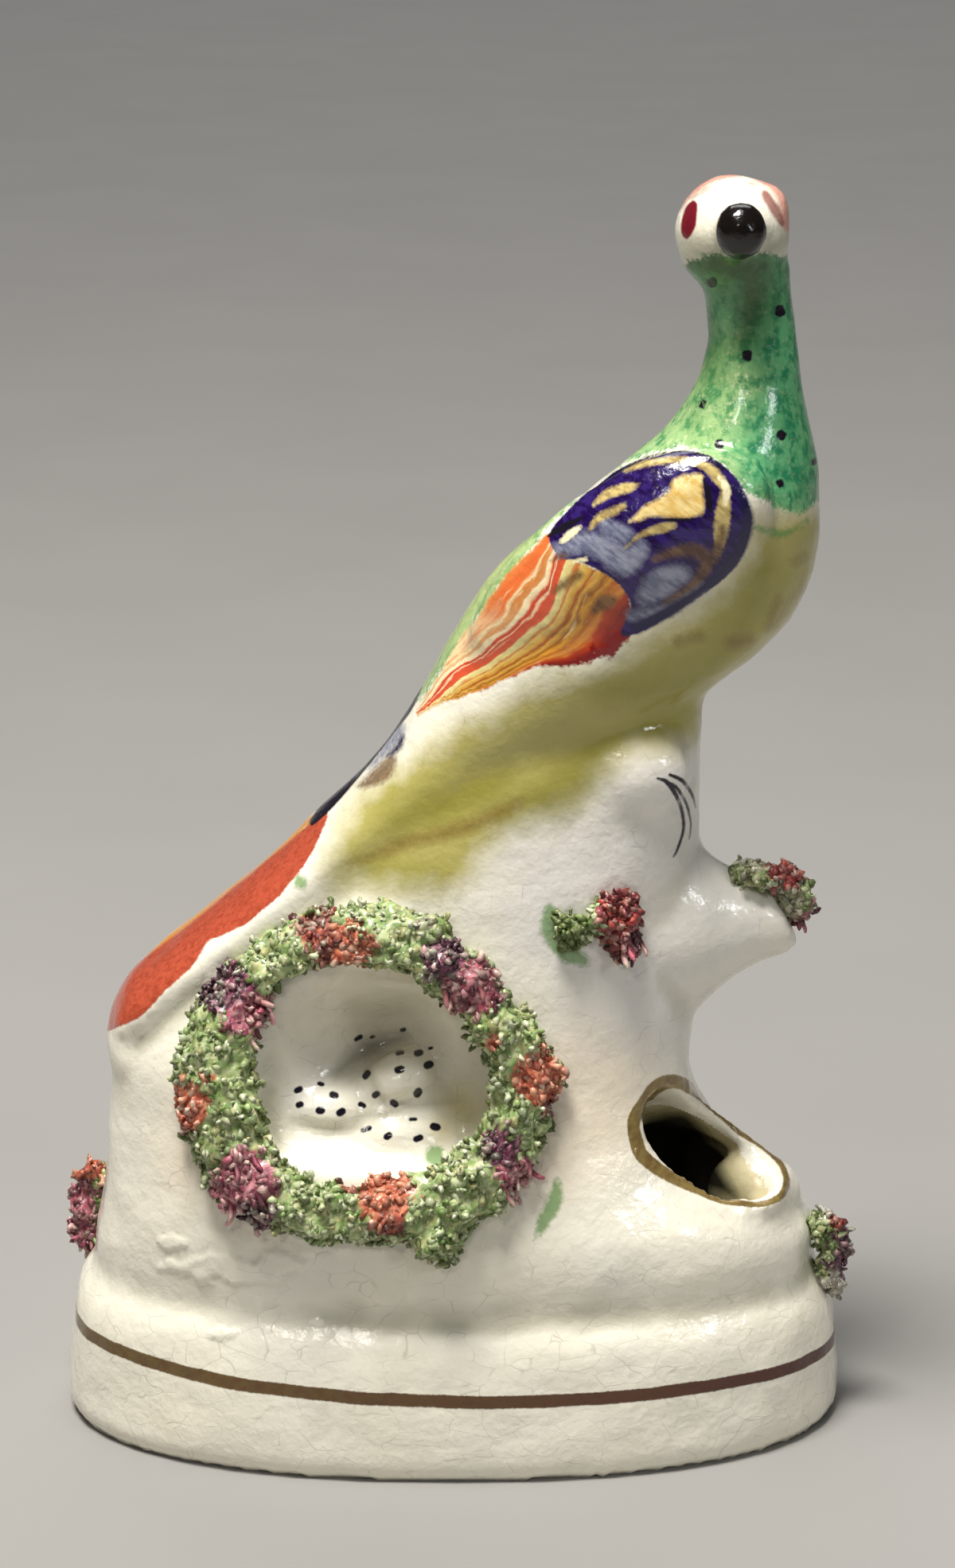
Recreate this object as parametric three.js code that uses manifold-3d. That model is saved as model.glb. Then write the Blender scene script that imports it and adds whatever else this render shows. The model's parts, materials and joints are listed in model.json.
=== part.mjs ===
// A small glazed pottery figure: a long-tailed bird on a tree stump, with a
// nest of eggs in a wreath of shredded clay, and a quill hole beside it.
// Millimetres. +X is the right of the front view, -Y the front, +Z up.
// The origin is the middle of the underside.

import * as THREE from "three";
import { mergeVertices } from "three/addons/utils/BufferGeometryUtils.js";
import Module from "manifold-3d";

const wasm = await Module();
wasm.setup();

// Overall sizes
const BASE_HALF_WIDTH = 44.2;
const BASE_HALF_DEPTH = 23;
const CLAY_GAP = 0.3; // between the body and the shredded clay stuck on it

// The oval base band: how far its wall stands in from the full oval at each height
const BASE_SQUARENESS = 2.3;
const BASE_WALL = [
  { height: 0, inset: 1.1 },
  { height: 0.5, inset: 0.4 },
  { height: 1.5, inset: 0 },
  { height: 6, inset: 0.3 },
  { height: 10, inset: 0.7 },
  { height: 13, inset: 1.1 },
  { height: 15.5, inset: 1.8 },
  { height: 17, inset: 2.9 },
];

// Mound and stump: each level's left and right ends on the ridge line, its depths
// in front of and behind that line, and how square its back is
const RIDGE_Y = -1;
const FRONT_SQUARENESS = 2.3;
const STUMP = [
  { height: 15, left: -40.4, right: 40.6, front: 18.2, back: 20.2, square: 2.2 },
  { height: 18, left: -40.6, right: 40.9, front: 18.5, back: 20.2, square: 2.2 },
  { height: 22, left: -40.3, right: 41.0, front: 19.0, back: 19.4, square: 2.3 },
  { height: 26, left: -39.6, right: 38.6, front: 19.0, back: 17.8, square: 2.5 },
  { height: 30, left: -39.0, right: 32.8, front: 18.2, back: 16.0, square: 2.8 },
  { height: 35, left: -38.6, right: 28.9, front: 17.0, back: 14.4, square: 3 },
  { height: 40, left: -38.3, right: 27.0, front: 15.9, back: 13.5, square: 3 },
  { height: 44.5, left: -38.0, right: 26.6, front: 15.1, back: 13.0, square: 3 },
  { height: 49, left: -35.0, right: 27.0, front: 14.2, back: 12.4, square: 3 },
  { height: 54, left: -29.2, right: 27.1, front: 13.3, back: 11.8, square: 3 },
  { height: 60, left: -21.8, right: 27.0, front: 12.4, back: 11.2, square: 3 },
  { height: 66, left: -15.2, right: 27.0, front: 11.6, back: 10.4, square: 3 },
  { height: 72, left: -9.0, right: 27.0, front: 10.8, back: 9.6, square: 3 },
  { height: 78, left: -3.4, right: 27.0, front: 10.0, back: 8.6, square: 3 },
  { height: 84, left: 2, right: 27.2, front: 8.4, back: 7.4, square: 3 },
];

// Bird: sections along its spine from the tail's end to the throat. Each has its
// middle, half its width in the view plane, its depths, and how far its width
// line slopes down to the right.
const BIRD = [
  { at: 0, x: -36.6, z: 46.0, half: 2.0, front: 8.0, back: 7.5, slope: 47 },
  { at: 4, x: -34.4, z: 48.8, half: 2.6, front: 9.4, back: 8.0, slope: 47 },
  { at: 14, x: -26.5, z: 55.3, half: 3.0, front: 9.8, back: 8.0, slope: 48 },
  { at: 24, x: -18.4, z: 61.6, half: 3.4, front: 9.8, back: 8.0, slope: 48 },
  { at: 34, x: -11.0, z: 67.6, half: 4.3, front: 9.6, back: 8.0, slope: 47 },
  { at: 43, x: -4.1, z: 72.2, half: 6.0, front: 9.6, back: 8.0, slope: 46 },
  { at: 51, x: 2.4, z: 77.7, half: 8.3, front: 10.2, back: 8.4, slope: 44 },
  { at: 59, x: 8.6, z: 83.8, half: 11.0, front: 11.5, back: 9.0, slope: 40 },
  { at: 68, x: 15.6, z: 90.6, half: 13.0, front: 12.6, back: 9.4, slope: 34 },
  { at: 78, x: 23.5, z: 97.4, half: 13.8, front: 12.6, back: 9.4, slope: 27 },
  { at: 86, x: 28.1, z: 104.0, half: 12.0, front: 11.2, back: 8.6, slope: 21 },
  { at: 93, x: 30.7, z: 110.7, half: 8.7, front: 8.4, back: 7.0, slope: 13 },
  { at: 99, x: 31.5, z: 116.6, half: 6.0, front: 6.0, back: 5.4, slope: 5 },
  { at: 104, x: 31.8, z: 121.4, half: 4.8, front: 4.9, back: 4.6, slope: 0 },
  { at: 109, x: 31.4, z: 126.0, half: 4.6, front: 4.8, back: 4.5, slope: 0 },
  { at: 114, x: 30.5, z: 130.5, half: 5.1, front: 5.2, back: 4.8, slope: 0 },
];

const HEAD = { middle: [29.4, -0.4, 133.7], radii: [6.1, 6.3, 6.3] };
const CROWN = { middle: [31.9, 0, 135.9], radii: [3.7, 4.2, 3.5] };
const BEAK = { middle: [29.9, -8.2, 135.7], radius: 2.45, rootRadius: 3.2, length: 4.5 };
const BEAK_TAPER = 0.8; // the cone's end, as a share of the ball's radius

// Wing: a flat oval dome, falling to the left and turned so that its tip sinks in
const WING = { middle: [17.4, -8.3, 99.2], radii: [18.8, 4.9, 8.8], slope: 37, turn: 7 };

// Thigh: the rounded boss where the bird's leg meets the stump
const THIGH = { middle: [19.4, -7.9, 77.0], radii: [6.4, 3.7, 5.4] };

// Branch stub: a limb that flares into the stump, in sections like the bird's
const BRANCH_Y = -1.5;
const BRANCH = [
  { at: 0, x: 22, z: 57.2, half: 11.6, front: 8.0, back: 8.0, slope: 92 },
  { at: 6, x: 27.4, z: 57.6, half: 9.4, front: 6.6, back: 6.6, slope: 88 },
  { at: 8, x: 29.2, z: 58.0, half: 7.4, front: 5.8, back: 5.8, slope: 84 },
  { at: 10, x: 31.2, z: 58.4, half: 6.1, front: 5.0, back: 5.0, slope: 79 },
  { at: 13, x: 33.8, z: 58.5, half: 4.9, front: 4.4, back: 4.4, slope: 71 },
  { at: 16, x: 36.2, z: 58.6, half: 4.1, front: 4.0, back: 4.0, slope: 65 },
  { at: 16.6, x: 36.7, z: 58.8, half: 3.5, front: 3.5, back: 3.5, slope: 65 },
];

// Nest: a bowl sunk in the stump's front, with a deeper dimple behind the eggs
const NEST = { middle: [-8.3, -17.6, 44.8], radii: [14.6, 9.4, 15.6] };
const NEST_FLOOR = { middle: [0, -12.5, 36.6], facing: [0, -0.34, 0.94] };
const DIMPLE = { middle: [-7.6, -8.2, 46.4], radii: [6, 3.6, 4] };
const EGG_RADII = [4.5, 3, 3];
const EGGS = [
  { middle: [-13.3, -10.6, 40.2], slope: -8 },
  { middle: [-5.9, -9.6, 43.2], slope: 20 },
  { middle: [-5.4, -11.6, 37.4], slope: 4 },
];

// Quill hole: an oval mouth with a thin raised lip, opening into a dark chamber
const MOUTH = { middle: [28, -7.5, 33.2], halfLong: 9.3, halfShort: 4.6 };
const MOUTH_TILT = 43; // degrees its outward direction rises
const MOUTH_TURN = 28; // degrees that direction turns from the front to the right
const MOUTH_ROLL = -36; // degrees its long axis falls to the right
const MOUTH_LIP_RADIUS = 0.85;
const LIP_OVERHANG = 0.8; // share of the lip's radius that stands outside the opening
const MOUTH_DEPTH = 6;
const MOUTH_WALL = 1.6; // thickness of the collar under the lip
const MOUTH_CLEARANCE = 5; // how far the cutter stands out of the surface
const CHAMBER = { middle: [23, -3.5, 24.5], radii: [12, 10.5, 9.5] };

// Wreath: the middle of its ring of clay and half its width, at equal clock
// angles from the right by way of the top
const WREATH_COURSE = [
  { x: 7.8, z: 45.5, half: 4.1 },
  { x: 4.6, z: 51.7, half: 3.4 },
  { x: 0.6, z: 56.3, half: 3.7 },
  { x: -4.0, z: 60.1, half: 3.9 },
  { x: -9.9, z: 60.6, half: 3.3 },
  { x: -16.0, z: 59.1, half: 3.3 },
  { x: -21.4, z: 55.7, half: 3.5 },
  { x: -24.2, z: 50.5, half: 4.2 },
  { x: -25.7, z: 44.9, half: 5.0 },
  { x: -24.4, z: 39.1, half: 4.9 },
  { x: -21.3, z: 33.9, half: 4.8 },
  { x: -16.0, z: 31.3, half: 4.0 },
  { x: -10.0, z: 31.0, half: 3.5 },
  { x: -4.0, z: 31.6, half: 4.2 },
  { x: 2.0, z: 33.9, half: 4.5 },
  { x: 6.4, z: 38.9, half: 3.9 },
];
const WREATH_MIDDLE = { x: -9, z: 45.3 };
const WREATH_PROUD = 1.1; // how far its centre line stands out of the stump
const WREATH_DEPTH = 3.1; // half its thickness
const WREATH_WRAP = 0.6; // how closely its width follows the stump's curve
const LEAF_CLUMPS = 18;
const LEAF_RIPPLE = 0.25; // how far the wreath swells and narrows at each leaf clump
const CLUMP_TWIST = 1.7; // each lump's second turn, against its first
const HANGING_CLUMP = { middle: [-1.2, -20.6, 28.4], radius: 3.4 };

// Sprays of shredded clay on the stump, the branch stub and the two ends
const SPRAYS = {
  trunk_flowers: [
    { middle: [12.7, -12.2, 60.6], radius: 2.9 },
    { middle: [17.2, -11.6, 62.3], radius: 3.5 },
    { middle: [18.6, -11.2, 58.6], radius: 2.4 },
  ],
  branch_flowers: [
    { middle: [32.4, -4.0, 64.6], radius: 2.3 },
    { middle: [35.4, -3.4, 63.4], radius: 2.4 },
    { middle: [37.3, -2.4, 62.0], radius: 3.0 },
    { middle: [37.8, -1.6, 59.6], radius: 2.9 },
  ],
  left_flowers: [
    { middle: [-41.0, 5, 24.6], radius: 2.7 },
    { middle: [-41.9, 5, 21.4], radius: 2.8 },
    { middle: [-42.2, 5, 17.9], radius: 2.7 },
  ],
  right_flowers: [
    { middle: [41.6, -4, 22.4], radius: 2.8 },
    { middle: [42.7, -4, 19.4], radius: 2.8 },
    { middle: [42.3, -4, 16.0], radius: 2.5 },
  ],
};

// Fineness of the faceted solids
const AROUND_STUMP = 36;
const ALONG_STUMP = 19;
const AROUND_BIRD = 22;
const ALONG_BIRD = 26;
const AROUND_BRANCH = 16;
const ALONG_BRANCH = 9;
const AROUND_MOUTH = 30;
const WITHIN_LIP = 6;
const AROUND_WREATH = 72;
const WITHIN_WREATH = 8;
const AROUND_BALL = 16;
const AROUND_HEAD = 18;
const AROUND_WING = 22;
const AROUND_NEST = 24;
const AROUND_BEAK = 14;
const AROUND_EGG = 14;
const BALL_RINGS = 0.65; // rings from pole to pole, as a share of the facets round

const UP = new THREE.Vector3(0, 0, 1);

// A geometry as a manifold solid.
function solidOf(geometry) {
  const bare = geometry.clone();
  bare.deleteAttribute("normal");
  bare.deleteAttribute("uv");
  const merged = mergeVertices(bare, 1e-4);
  return new wasm.Manifold(
    new wasm.Mesh({
      numProp: 3,
      vertProperties: merged.getAttribute("position").array,
      triVerts: new Uint32Array(merged.index.array),
    }),
  );
}

// A manifold solid as a geometry.
function geometryOf(solid) {
  const mesh = solid.getMesh();
  const geometry = new THREE.BufferGeometry();
  geometry.setAttribute("position", new THREE.BufferAttribute(mesh.vertProperties, 3));
  geometry.setIndex(new THREE.BufferAttribute(mesh.triVerts, 1));
  geometry.computeVertexNormals();
  return geometry;
}

function joined(solids) {
  return solids.reduce((whole, piece) => whole.add(piece));
}

// The values between stations, on a smooth curve through each of them.
function smoothBetween(stations, key) {
  const names = Object.keys(stations[0]).filter((name) => name !== key);
  const curve = new THREE.CubicInterpolant(
    stations.map((station) => station[key]),
    stations.flatMap((station) => names.map((name) => station[name])),
    names.length,
  );
  return (where) => {
    const row = curve.evaluate(where);
    return Object.fromEntries(names.map((name, i) => [name, row[i]]));
  };
}

// A closed solid skinned over level rings. It starts as a cylinder one unit high,
// and place() says where the point at a share of its height and an angle goes.
function skinned(around, along, place) {
  const shape = new THREE.CylinderGeometry(1, 1, 1, around, along);
  const position = shape.getAttribute("position");
  for (let i = 0; i < position.count; i++) {
    const across = position.getX(i);
    const away = -position.getZ(i);
    const radius = Math.hypot(across, away);
    const angle = Math.atan2(away, across);
    const point = place(position.getY(i) + 0.5, angle, radius);
    position.setXYZ(i, point.x, point.y, point.z);
  }
  return solidOf(shape);
}

// The point of a rounded-oblong outline of half size 1 at an angle.
function oblong(angle, squareness) {
  const power = 2 / squareness;
  const stretch = (value) => Math.sign(value) * Math.abs(value) ** power;
  return { x: stretch(Math.cos(angle)), y: stretch(Math.sin(angle)) };
}

// An egg-shaped or rounded solid that rises to the right by its slope, and is
// turned about the upright by its turn, both in degrees.
function ellipsoid(middle, radii, around = AROUND_BALL, slope = 0, turn = 0) {
  const shape = new THREE.SphereGeometry(1, around, Math.round(around * BALL_RINGS));
  shape.scale(...radii);
  shape.rotateZ(-THREE.MathUtils.degToRad(turn));
  shape.rotateY(-THREE.MathUtils.degToRad(slope));
  shape.translate(...middle);
  return solidOf(shape);
}

// The oval base band, up to the groove.
function baseBand(grow) {
  const steps = BASE_WALL.length - 1;
  return skinned(AROUND_STUMP, steps, (share, angle, radius) => {
    const level = BASE_WALL[Math.round(share * steps)];
    const outline = oblong(angle, BASE_SQUARENESS);
    return {
      x: outline.x * radius * (BASE_HALF_WIDTH - level.inset + grow),
      y: outline.y * radius * (BASE_HALF_DEPTH - level.inset + grow),
      z: level.height,
    };
  });
}

// The mound and the stump above the groove.
const levelAt = smoothBetween(STUMP, "height");

function stump(grow) {
  const bottom = STUMP[0].height;
  const top = STUMP.at(-1).height;
  return skinned(AROUND_STUMP, ALONG_STUMP, (share, angle, radius) => {
    const height = bottom + share * (top - bottom);
    const level = levelAt(height);
    const inFront = Math.sin(angle) < 0;
    const outline = oblong(angle, inFront ? FRONT_SQUARENESS : level.square);
    const depth = inFront ? level.front : level.back;
    const halfWidth = (level.right - level.left) / 2 + grow;
    return {
      x: (level.left + level.right) / 2 + outline.x * radius * halfWidth,
      y: RIDGE_Y + outline.y * radius * (depth + grow),
      z: height,
    };
  });
}

// A limb or body skinned through upright sections that slope as stated.
function sectioned(stations, middleY, around, along, grow) {
  const sectionAt = smoothBetween(stations, "at");
  const length = stations.at(-1).at;
  return skinned(around, along, (share, angle, radius) => {
    const section = sectionAt(share * length);
    const slope = THREE.MathUtils.degToRad(section.slope);
    const across = Math.cos(angle) * radius * (section.half + grow);
    const depth = Math.sin(angle) < 0 ? section.front : section.back;
    return {
      x: section.x + across * Math.cos(slope),
      y: middleY + Math.sin(angle) * radius * (depth + grow),
      z: section.z - across * Math.sin(slope),
    };
  });
}

const birdBody = (grow) => sectioned(BIRD, 0, AROUND_BIRD, ALONG_BIRD, grow);
const branchStub = (grow) => sectioned(BRANCH, BRANCH_Y, AROUND_BRANCH, ALONG_BRANCH, grow);

// A solid made along +Z, turned to point in a direction and moved to a place.
function pointed(shape, direction, place) {
  shape.applyQuaternion(new THREE.Quaternion().setFromUnitVectors(UP, direction));
  shape.translate(place.x, place.y, place.z);
  return solidOf(shape);
}

function headWithBeak() {
  const from = new THREE.Vector3(...HEAD.middle);
  const ball = new THREE.Vector3(...BEAK.middle);
  const forward = ball.clone().sub(from).normalize();
  const tip = BEAK.radius * BEAK_TAPER;
  const cone = new THREE.CylinderGeometry(tip, BEAK.rootRadius, BEAK.length, AROUND_BEAK);
  cone.rotateX(Math.PI / 2);
  const middle = ball.clone().addScaledVector(forward, -BEAK.length / 2);
  return joined([
    ellipsoid(HEAD.middle, HEAD.radii, AROUND_HEAD),
    ellipsoid(CROWN.middle, CROWN.radii, AROUND_BEAK),
    pointed(cone, forward, middle),
    ellipsoid(BEAK.middle, [BEAK.radius, BEAK.radius, BEAK.radius], AROUND_BEAK),
  ]);
}

// The quill hole's own directions: out of the mouth, along it and across it.
function mouthFrame() {
  const tilt = THREE.MathUtils.degToRad(MOUTH_TILT);
  const turn = THREE.MathUtils.degToRad(MOUTH_TURN);
  const outward = new THREE.Vector3(
    Math.cos(tilt) * Math.sin(turn),
    -Math.cos(tilt) * Math.cos(turn),
    Math.sin(tilt),
  );
  const along = UP.clone().cross(outward).normalize();
  along.applyAxisAngle(outward, THREE.MathUtils.degToRad(MOUTH_ROLL));
  const across = outward.clone().cross(along);
  return new THREE.Matrix4()
    .makeBasis(along, across, outward)
    .setPosition(...MOUTH.middle);
}

// An oval ring of round section: half its centre line's length and width, and
// the section's radius at each angle.
function ovalRing(halfLong, halfShort, radiusAt, around, within) {
  const shape = new THREE.TorusGeometry(1, 0.5, within, around);
  const position = shape.getAttribute("position");
  for (let i = 0; i < position.count; i++) {
    const x = position.getX(i);
    const y = position.getY(i);
    const out = Math.hypot(x, y);
    const scale = 2 * radiusAt(Math.atan2(y, x));
    const swell = (out - 1) * scale;
    const level = position.getZ(i) * scale;
    position.setXYZ(i, (x / out) * (halfLong + swell), (y / out) * (halfShort + swell), level);
  }
  return shape;
}

function mouthLip() {
  const shape = ovalRing(
    MOUTH.halfLong + MOUTH_LIP_RADIUS * LIP_OVERHANG,
    MOUTH.halfShort + MOUTH_LIP_RADIUS * LIP_OVERHANG,
    () => MOUTH_LIP_RADIUS,
    AROUND_MOUTH,
    WITHIN_LIP,
  );
  return solidOf(shape.applyMatrix4(mouthFrame()));
}

// An upright oval rod in the mouth's own directions, between two levels.
function mouthRod(halfLong, halfShort, bottom, top) {
  const shape = new THREE.CylinderGeometry(1, 1, top - bottom, AROUND_MOUTH);
  shape.rotateX(Math.PI / 2);
  shape.scale(halfLong, halfShort, 1);
  shape.translate(0, 0, (top + bottom) / 2);
  return solidOf(shape.applyMatrix4(mouthFrame()));
}

function mouthWall() {
  const halfLong = MOUTH.halfLong + MOUTH_WALL;
  const halfShort = MOUTH.halfShort + MOUTH_WALL;
  return mouthRod(halfLong, halfShort, -MOUTH_DEPTH, 0).add(mouthLip());
}

function quillHole() {
  const mouth = mouthRod(MOUTH.halfLong, MOUTH.halfShort, -MOUTH_DEPTH, MOUTH_CLEARANCE);
  return mouth.add(ellipsoid(CHAMBER.middle, CHAMBER.radii));
}

// The room in the nest: a ball cut off flat along the floor under the eggs.
function nestBowl() {
  const facing = new THREE.Vector3(...NEST_FLOOR.facing).normalize();
  const level = facing.dot(new THREE.Vector3(...NEST_FLOOR.middle));
  const ball = ellipsoid(NEST.middle, NEST.radii, AROUND_NEST);
  return ball.trimByPlane(facing.toArray(), level);
}

function figure() {
  const body = joined([
    baseBand(0),
    stump(0),
    birdBody(0),
    headWithBeak(),
    branchStub(0),
    ellipsoid(WING.middle, WING.radii, AROUND_WING, WING.slope, WING.turn),
    ellipsoid(THIGH.middle, THIGH.radii),
    mouthWall(),
  ]);
  const hollowed = body
    .subtract(nestBowl())
    .subtract(ellipsoid(DIMPLE.middle, DIMPLE.radii))
    .subtract(quillHole());
  const eggs = EGGS.map((egg) => ellipsoid(egg.middle, EGG_RADII, AROUND_EGG, egg.slope));
  return joined([hollowed, ...eggs]);
}

// A lump of clay: a faceted ball, turned so that no two lie alike.
function clump(middle, radius, turn) {
  const shape = new THREE.DodecahedronGeometry(radius);
  shape.rotateZ(turn);
  shape.rotateX(turn * CLUMP_TWIST);
  shape.translate(...middle);
  return solidOf(shape);
}

// How far forward the stump's front lies at a place on it.
function stumpFront(x, z) {
  const level = levelAt(z);
  const halfWidth = (level.right - level.left) / 2;
  const across = Math.abs(x - (level.left + level.right) / 2) / halfWidth;
  const share = Math.max(1 - across ** FRONT_SQUARENESS, 0) ** (1 / FRONT_SQUARENESS);
  return RIDGE_Y - level.front * share;
}

// The wreath: a ring that follows its course along the stump's front.
function nestWreath() {
  const stations = WREATH_COURSE.map(({ x, z, half }) => new THREE.Vector3(x, half, z));
  const course = new THREE.CatmullRomCurve3(stations, true);
  const shape = new THREE.TorusGeometry(1, 0.5, WITHIN_WREATH, AROUND_WREATH);
  const position = shape.getAttribute("position");
  const fullTurn = 2 * Math.PI;
  for (let i = 0; i < position.count; i++) {
    const across = position.getX(i);
    const up = position.getY(i);
    const angle = (Math.atan2(up, across) + fullTurn) % fullTurn;
    const middle = course.getPoint(angle / fullTurn);
    const outward = new THREE.Vector2(middle.x - WREATH_MIDDLE.x, middle.z - WREATH_MIDDLE.z);
    outward.normalize();
    const half = middle.y + LEAF_RIPPLE * Math.cos(LEAF_CLUMPS * angle);
    const step = half * 2 * (Math.hypot(across, up) - 1);
    const x = middle.x + outward.x * step;
    const z = middle.z + outward.y * step;
    const straight = stumpFront(middle.x, middle.z);
    const front = straight + WREATH_WRAP * (stumpFront(x, z) - straight);
    position.setXYZ(i, x, front - WREATH_PROUD - WREATH_DEPTH * 2 * position.getZ(i), z);
  }
  return solidOf(shape).add(clump(HANGING_CLUMP.middle, HANGING_CLUMP.radius, 1));
}

function spray(clumps) {
  return joined(clumps.map((lump, i) => clump(lump.middle, lump.radius, i)));
}

// Clay cut back to stand clear of the body, without any crumbs cut loose.
function clearOf(body, clay) {
  const bodies = clay.subtract(body).decompose();
  return bodies.reduce((largest, each) => (each.volume() > largest.volume() ? each : largest));
}

function glazedMesh(name, solid, color, roughness) {
  const material = new THREE.MeshStandardMaterial({ color, roughness, metalness: 0 });
  const mesh = new THREE.Mesh(geometryOf(solid), material);
  mesh.name = name;
  return mesh;
}

const room = joined([
  baseBand(CLAY_GAP),
  stump(CLAY_GAP),
  birdBody(CLAY_GAP),
  branchStub(CLAY_GAP),
]);

const group = new THREE.Group();
group.add(glazedMesh("figure", figure(), 0xf4ecd8, 0.15));
group.add(glazedMesh("nest_wreath", clearOf(room, nestWreath()), 0xa9b78a, 0.7));
for (const [name, clumps] of Object.entries(SPRAYS)) {
  group.add(glazedMesh(name, clearOf(room, spray(clumps)), 0xa4584f, 0.7));
}

export default group;
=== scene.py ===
# %% [markdown]
# # A glazed pottery bird on a stump
# This lesson dresses a small pressed-clay mantel figure: a long-tailed bird on a
# tree stump, with a nest of eggs inside a wreath of shredded clay, and a hole
# beside it for a quill pen. The solids come from CAD and stay where they are.
# What is made here is what a potter adds by hand: soft glaze, paint and crumbs
# of coloured clay. Sizes are in millimetres, turned to metres by MM; places seen
# in the picture are in its pixels; only the floor and the lights are in metres.

import json
import math

import bmesh
import bpy
import numpy as np
from mathutils import Matrix, Vector, noise
from mathutils.bvhtree import BVHTree

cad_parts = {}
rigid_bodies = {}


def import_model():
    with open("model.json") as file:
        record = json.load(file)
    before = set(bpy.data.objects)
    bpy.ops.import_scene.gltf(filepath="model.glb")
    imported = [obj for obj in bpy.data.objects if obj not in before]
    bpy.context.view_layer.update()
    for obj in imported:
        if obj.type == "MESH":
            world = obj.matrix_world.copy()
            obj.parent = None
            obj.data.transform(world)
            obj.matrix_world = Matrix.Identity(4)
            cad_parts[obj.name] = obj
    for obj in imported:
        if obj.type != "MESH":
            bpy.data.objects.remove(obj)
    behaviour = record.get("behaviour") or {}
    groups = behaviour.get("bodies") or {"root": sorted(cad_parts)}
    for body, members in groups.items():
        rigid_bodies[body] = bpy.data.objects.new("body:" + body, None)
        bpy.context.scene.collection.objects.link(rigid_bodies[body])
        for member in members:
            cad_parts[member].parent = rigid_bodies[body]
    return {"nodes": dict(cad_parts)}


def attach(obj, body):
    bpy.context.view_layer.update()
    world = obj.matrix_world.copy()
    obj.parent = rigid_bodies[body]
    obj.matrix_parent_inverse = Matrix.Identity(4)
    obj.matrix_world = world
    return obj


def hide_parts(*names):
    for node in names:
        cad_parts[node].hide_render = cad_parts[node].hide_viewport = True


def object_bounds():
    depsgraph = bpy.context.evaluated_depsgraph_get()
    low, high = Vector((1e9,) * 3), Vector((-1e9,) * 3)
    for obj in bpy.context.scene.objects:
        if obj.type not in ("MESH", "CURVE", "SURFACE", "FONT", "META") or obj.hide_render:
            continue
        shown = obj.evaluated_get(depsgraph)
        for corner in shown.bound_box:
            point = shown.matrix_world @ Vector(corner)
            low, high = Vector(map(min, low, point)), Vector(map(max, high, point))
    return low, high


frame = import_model()
CAD_BOX = [list(corner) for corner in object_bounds()]
MM = 0.001
print("CAD nodes:", ", ".join(sorted(frame["nodes"])))

# %% [markdown]
# ## The camera
# The photographed figure is seen from in front and a little above. A long lens
# about 0.4 m away gives that view. The camera comes first here, because some
# painted strokes are placed where they are seen in the picture, and then kept
# on the surface as numbers of its own, so they stay put from any side.

# %% The camera
PICTURE_WIDTH = 1200
PICTURE_HEIGHT = 1971
SENSOR_HEIGHT = 36
FOCAL_PIXELS = 4812.8
EYE = np.array(Vector((2.75, -400, 198.855)) * MM)
LOOKS_DOWN = math.radians(17.431)


def put_in_scene(name, data):
    """A new object of the scene, made round a mesh, a light or a camera."""
    made = bpy.data.objects.new(name, data)
    bpy.context.scene.collection.objects.link(made)
    return made


camera_data = bpy.data.cameras.new("camera")
camera_data.sensor_fit = "VERTICAL"
camera_data.sensor_height = SENSOR_HEIGHT
camera_data.lens = FOCAL_PIXELS / PICTURE_HEIGHT * SENSOR_HEIGHT
camera = put_in_scene("camera", camera_data)
camera.location = EYE
camera.rotation_euler = (math.pi / 2 - LOOKS_DOWN, 0, 0)
bpy.context.scene.camera = camera
print("lens", round(camera_data.lens, 1), "mm")

# %% Where a point is seen
FORWARD = np.array([0, math.cos(LOOKS_DOWN), -math.sin(LOOKS_DOWN)])
UPWARD = np.array([0, math.sin(LOOKS_DOWN), math.cos(LOOKS_DOWN)])


def seen(points):
    """Picture places, in pixels from the top left, of points of the frame."""
    away = points - EYE
    depth = away @ FORWARD
    across = PICTURE_WIDTH / 2 + FOCAL_PIXELS * away[:, 0] / depth
    down = PICTURE_HEIGHT / 2 - FOCAL_PIXELS * (away @ UPWARD) / depth
    return np.stack([across, down], axis=1)


print("the origin is seen at", seen(np.zeros((1, 3)))[0].round())

# %% [markdown]
# ## Small helpers for modelling by hand
# Each one does what a few key presses do: pick one piece and nothing else, add
# and apply a modifier, or read where the vertices are. An operator works on all
# that is selected, so `only` clears the selection first.

# %% Picking, editing and modifiers
def only(*pieces):
    """Picks these pieces and nothing else."""
    for other in bpy.context.view_layer.objects:
        other.select_set(False)
    for piece in pieces:
        piece.select_set(True)
    bpy.context.view_layer.objects.active = pieces[-1] if pieces else None


def edit(piece):
    """Opens a piece in edit mode with all its faces picked."""
    only(piece)
    bpy.ops.object.mode_set(mode="EDIT")
    bpy.ops.mesh.select_mode(type="FACE")
    bpy.ops.mesh.select_all(action="SELECT")


def end_edit():
    bpy.ops.object.mode_set(mode="OBJECT")


def settle(piece, matrix):
    """Moves a piece, and puts its new place into its mesh."""
    piece.matrix_world = matrix
    only(piece)
    bpy.ops.object.transform_apply()


def apply_modifier(piece, kind, **settings):
    """Adds a modifier with these settings, and applies it."""
    only(piece)
    modifier = piece.modifiers.new(kind.title(), kind)
    for name, value in settings.items():
        setattr(modifier, name, value)
    bpy.ops.object.modifier_apply(modifier=modifier.name)


# %% Reading and moving vertices
WELD_GAP = 0.001
WEIGHT_STEPS = 20


def rows(data, key, width=3):
    """What some vertices or faces hold under a key, a row for each."""
    found = np.empty(len(data) * width, np.float32)
    data.foreach_get(key, found)
    return found.reshape(-1, width).astype(float)


def places(piece):
    return rows(piece.data.vertices, "co")


def facing(piece):
    return rows(piece.data.vertex_normals, "vector")


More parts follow.
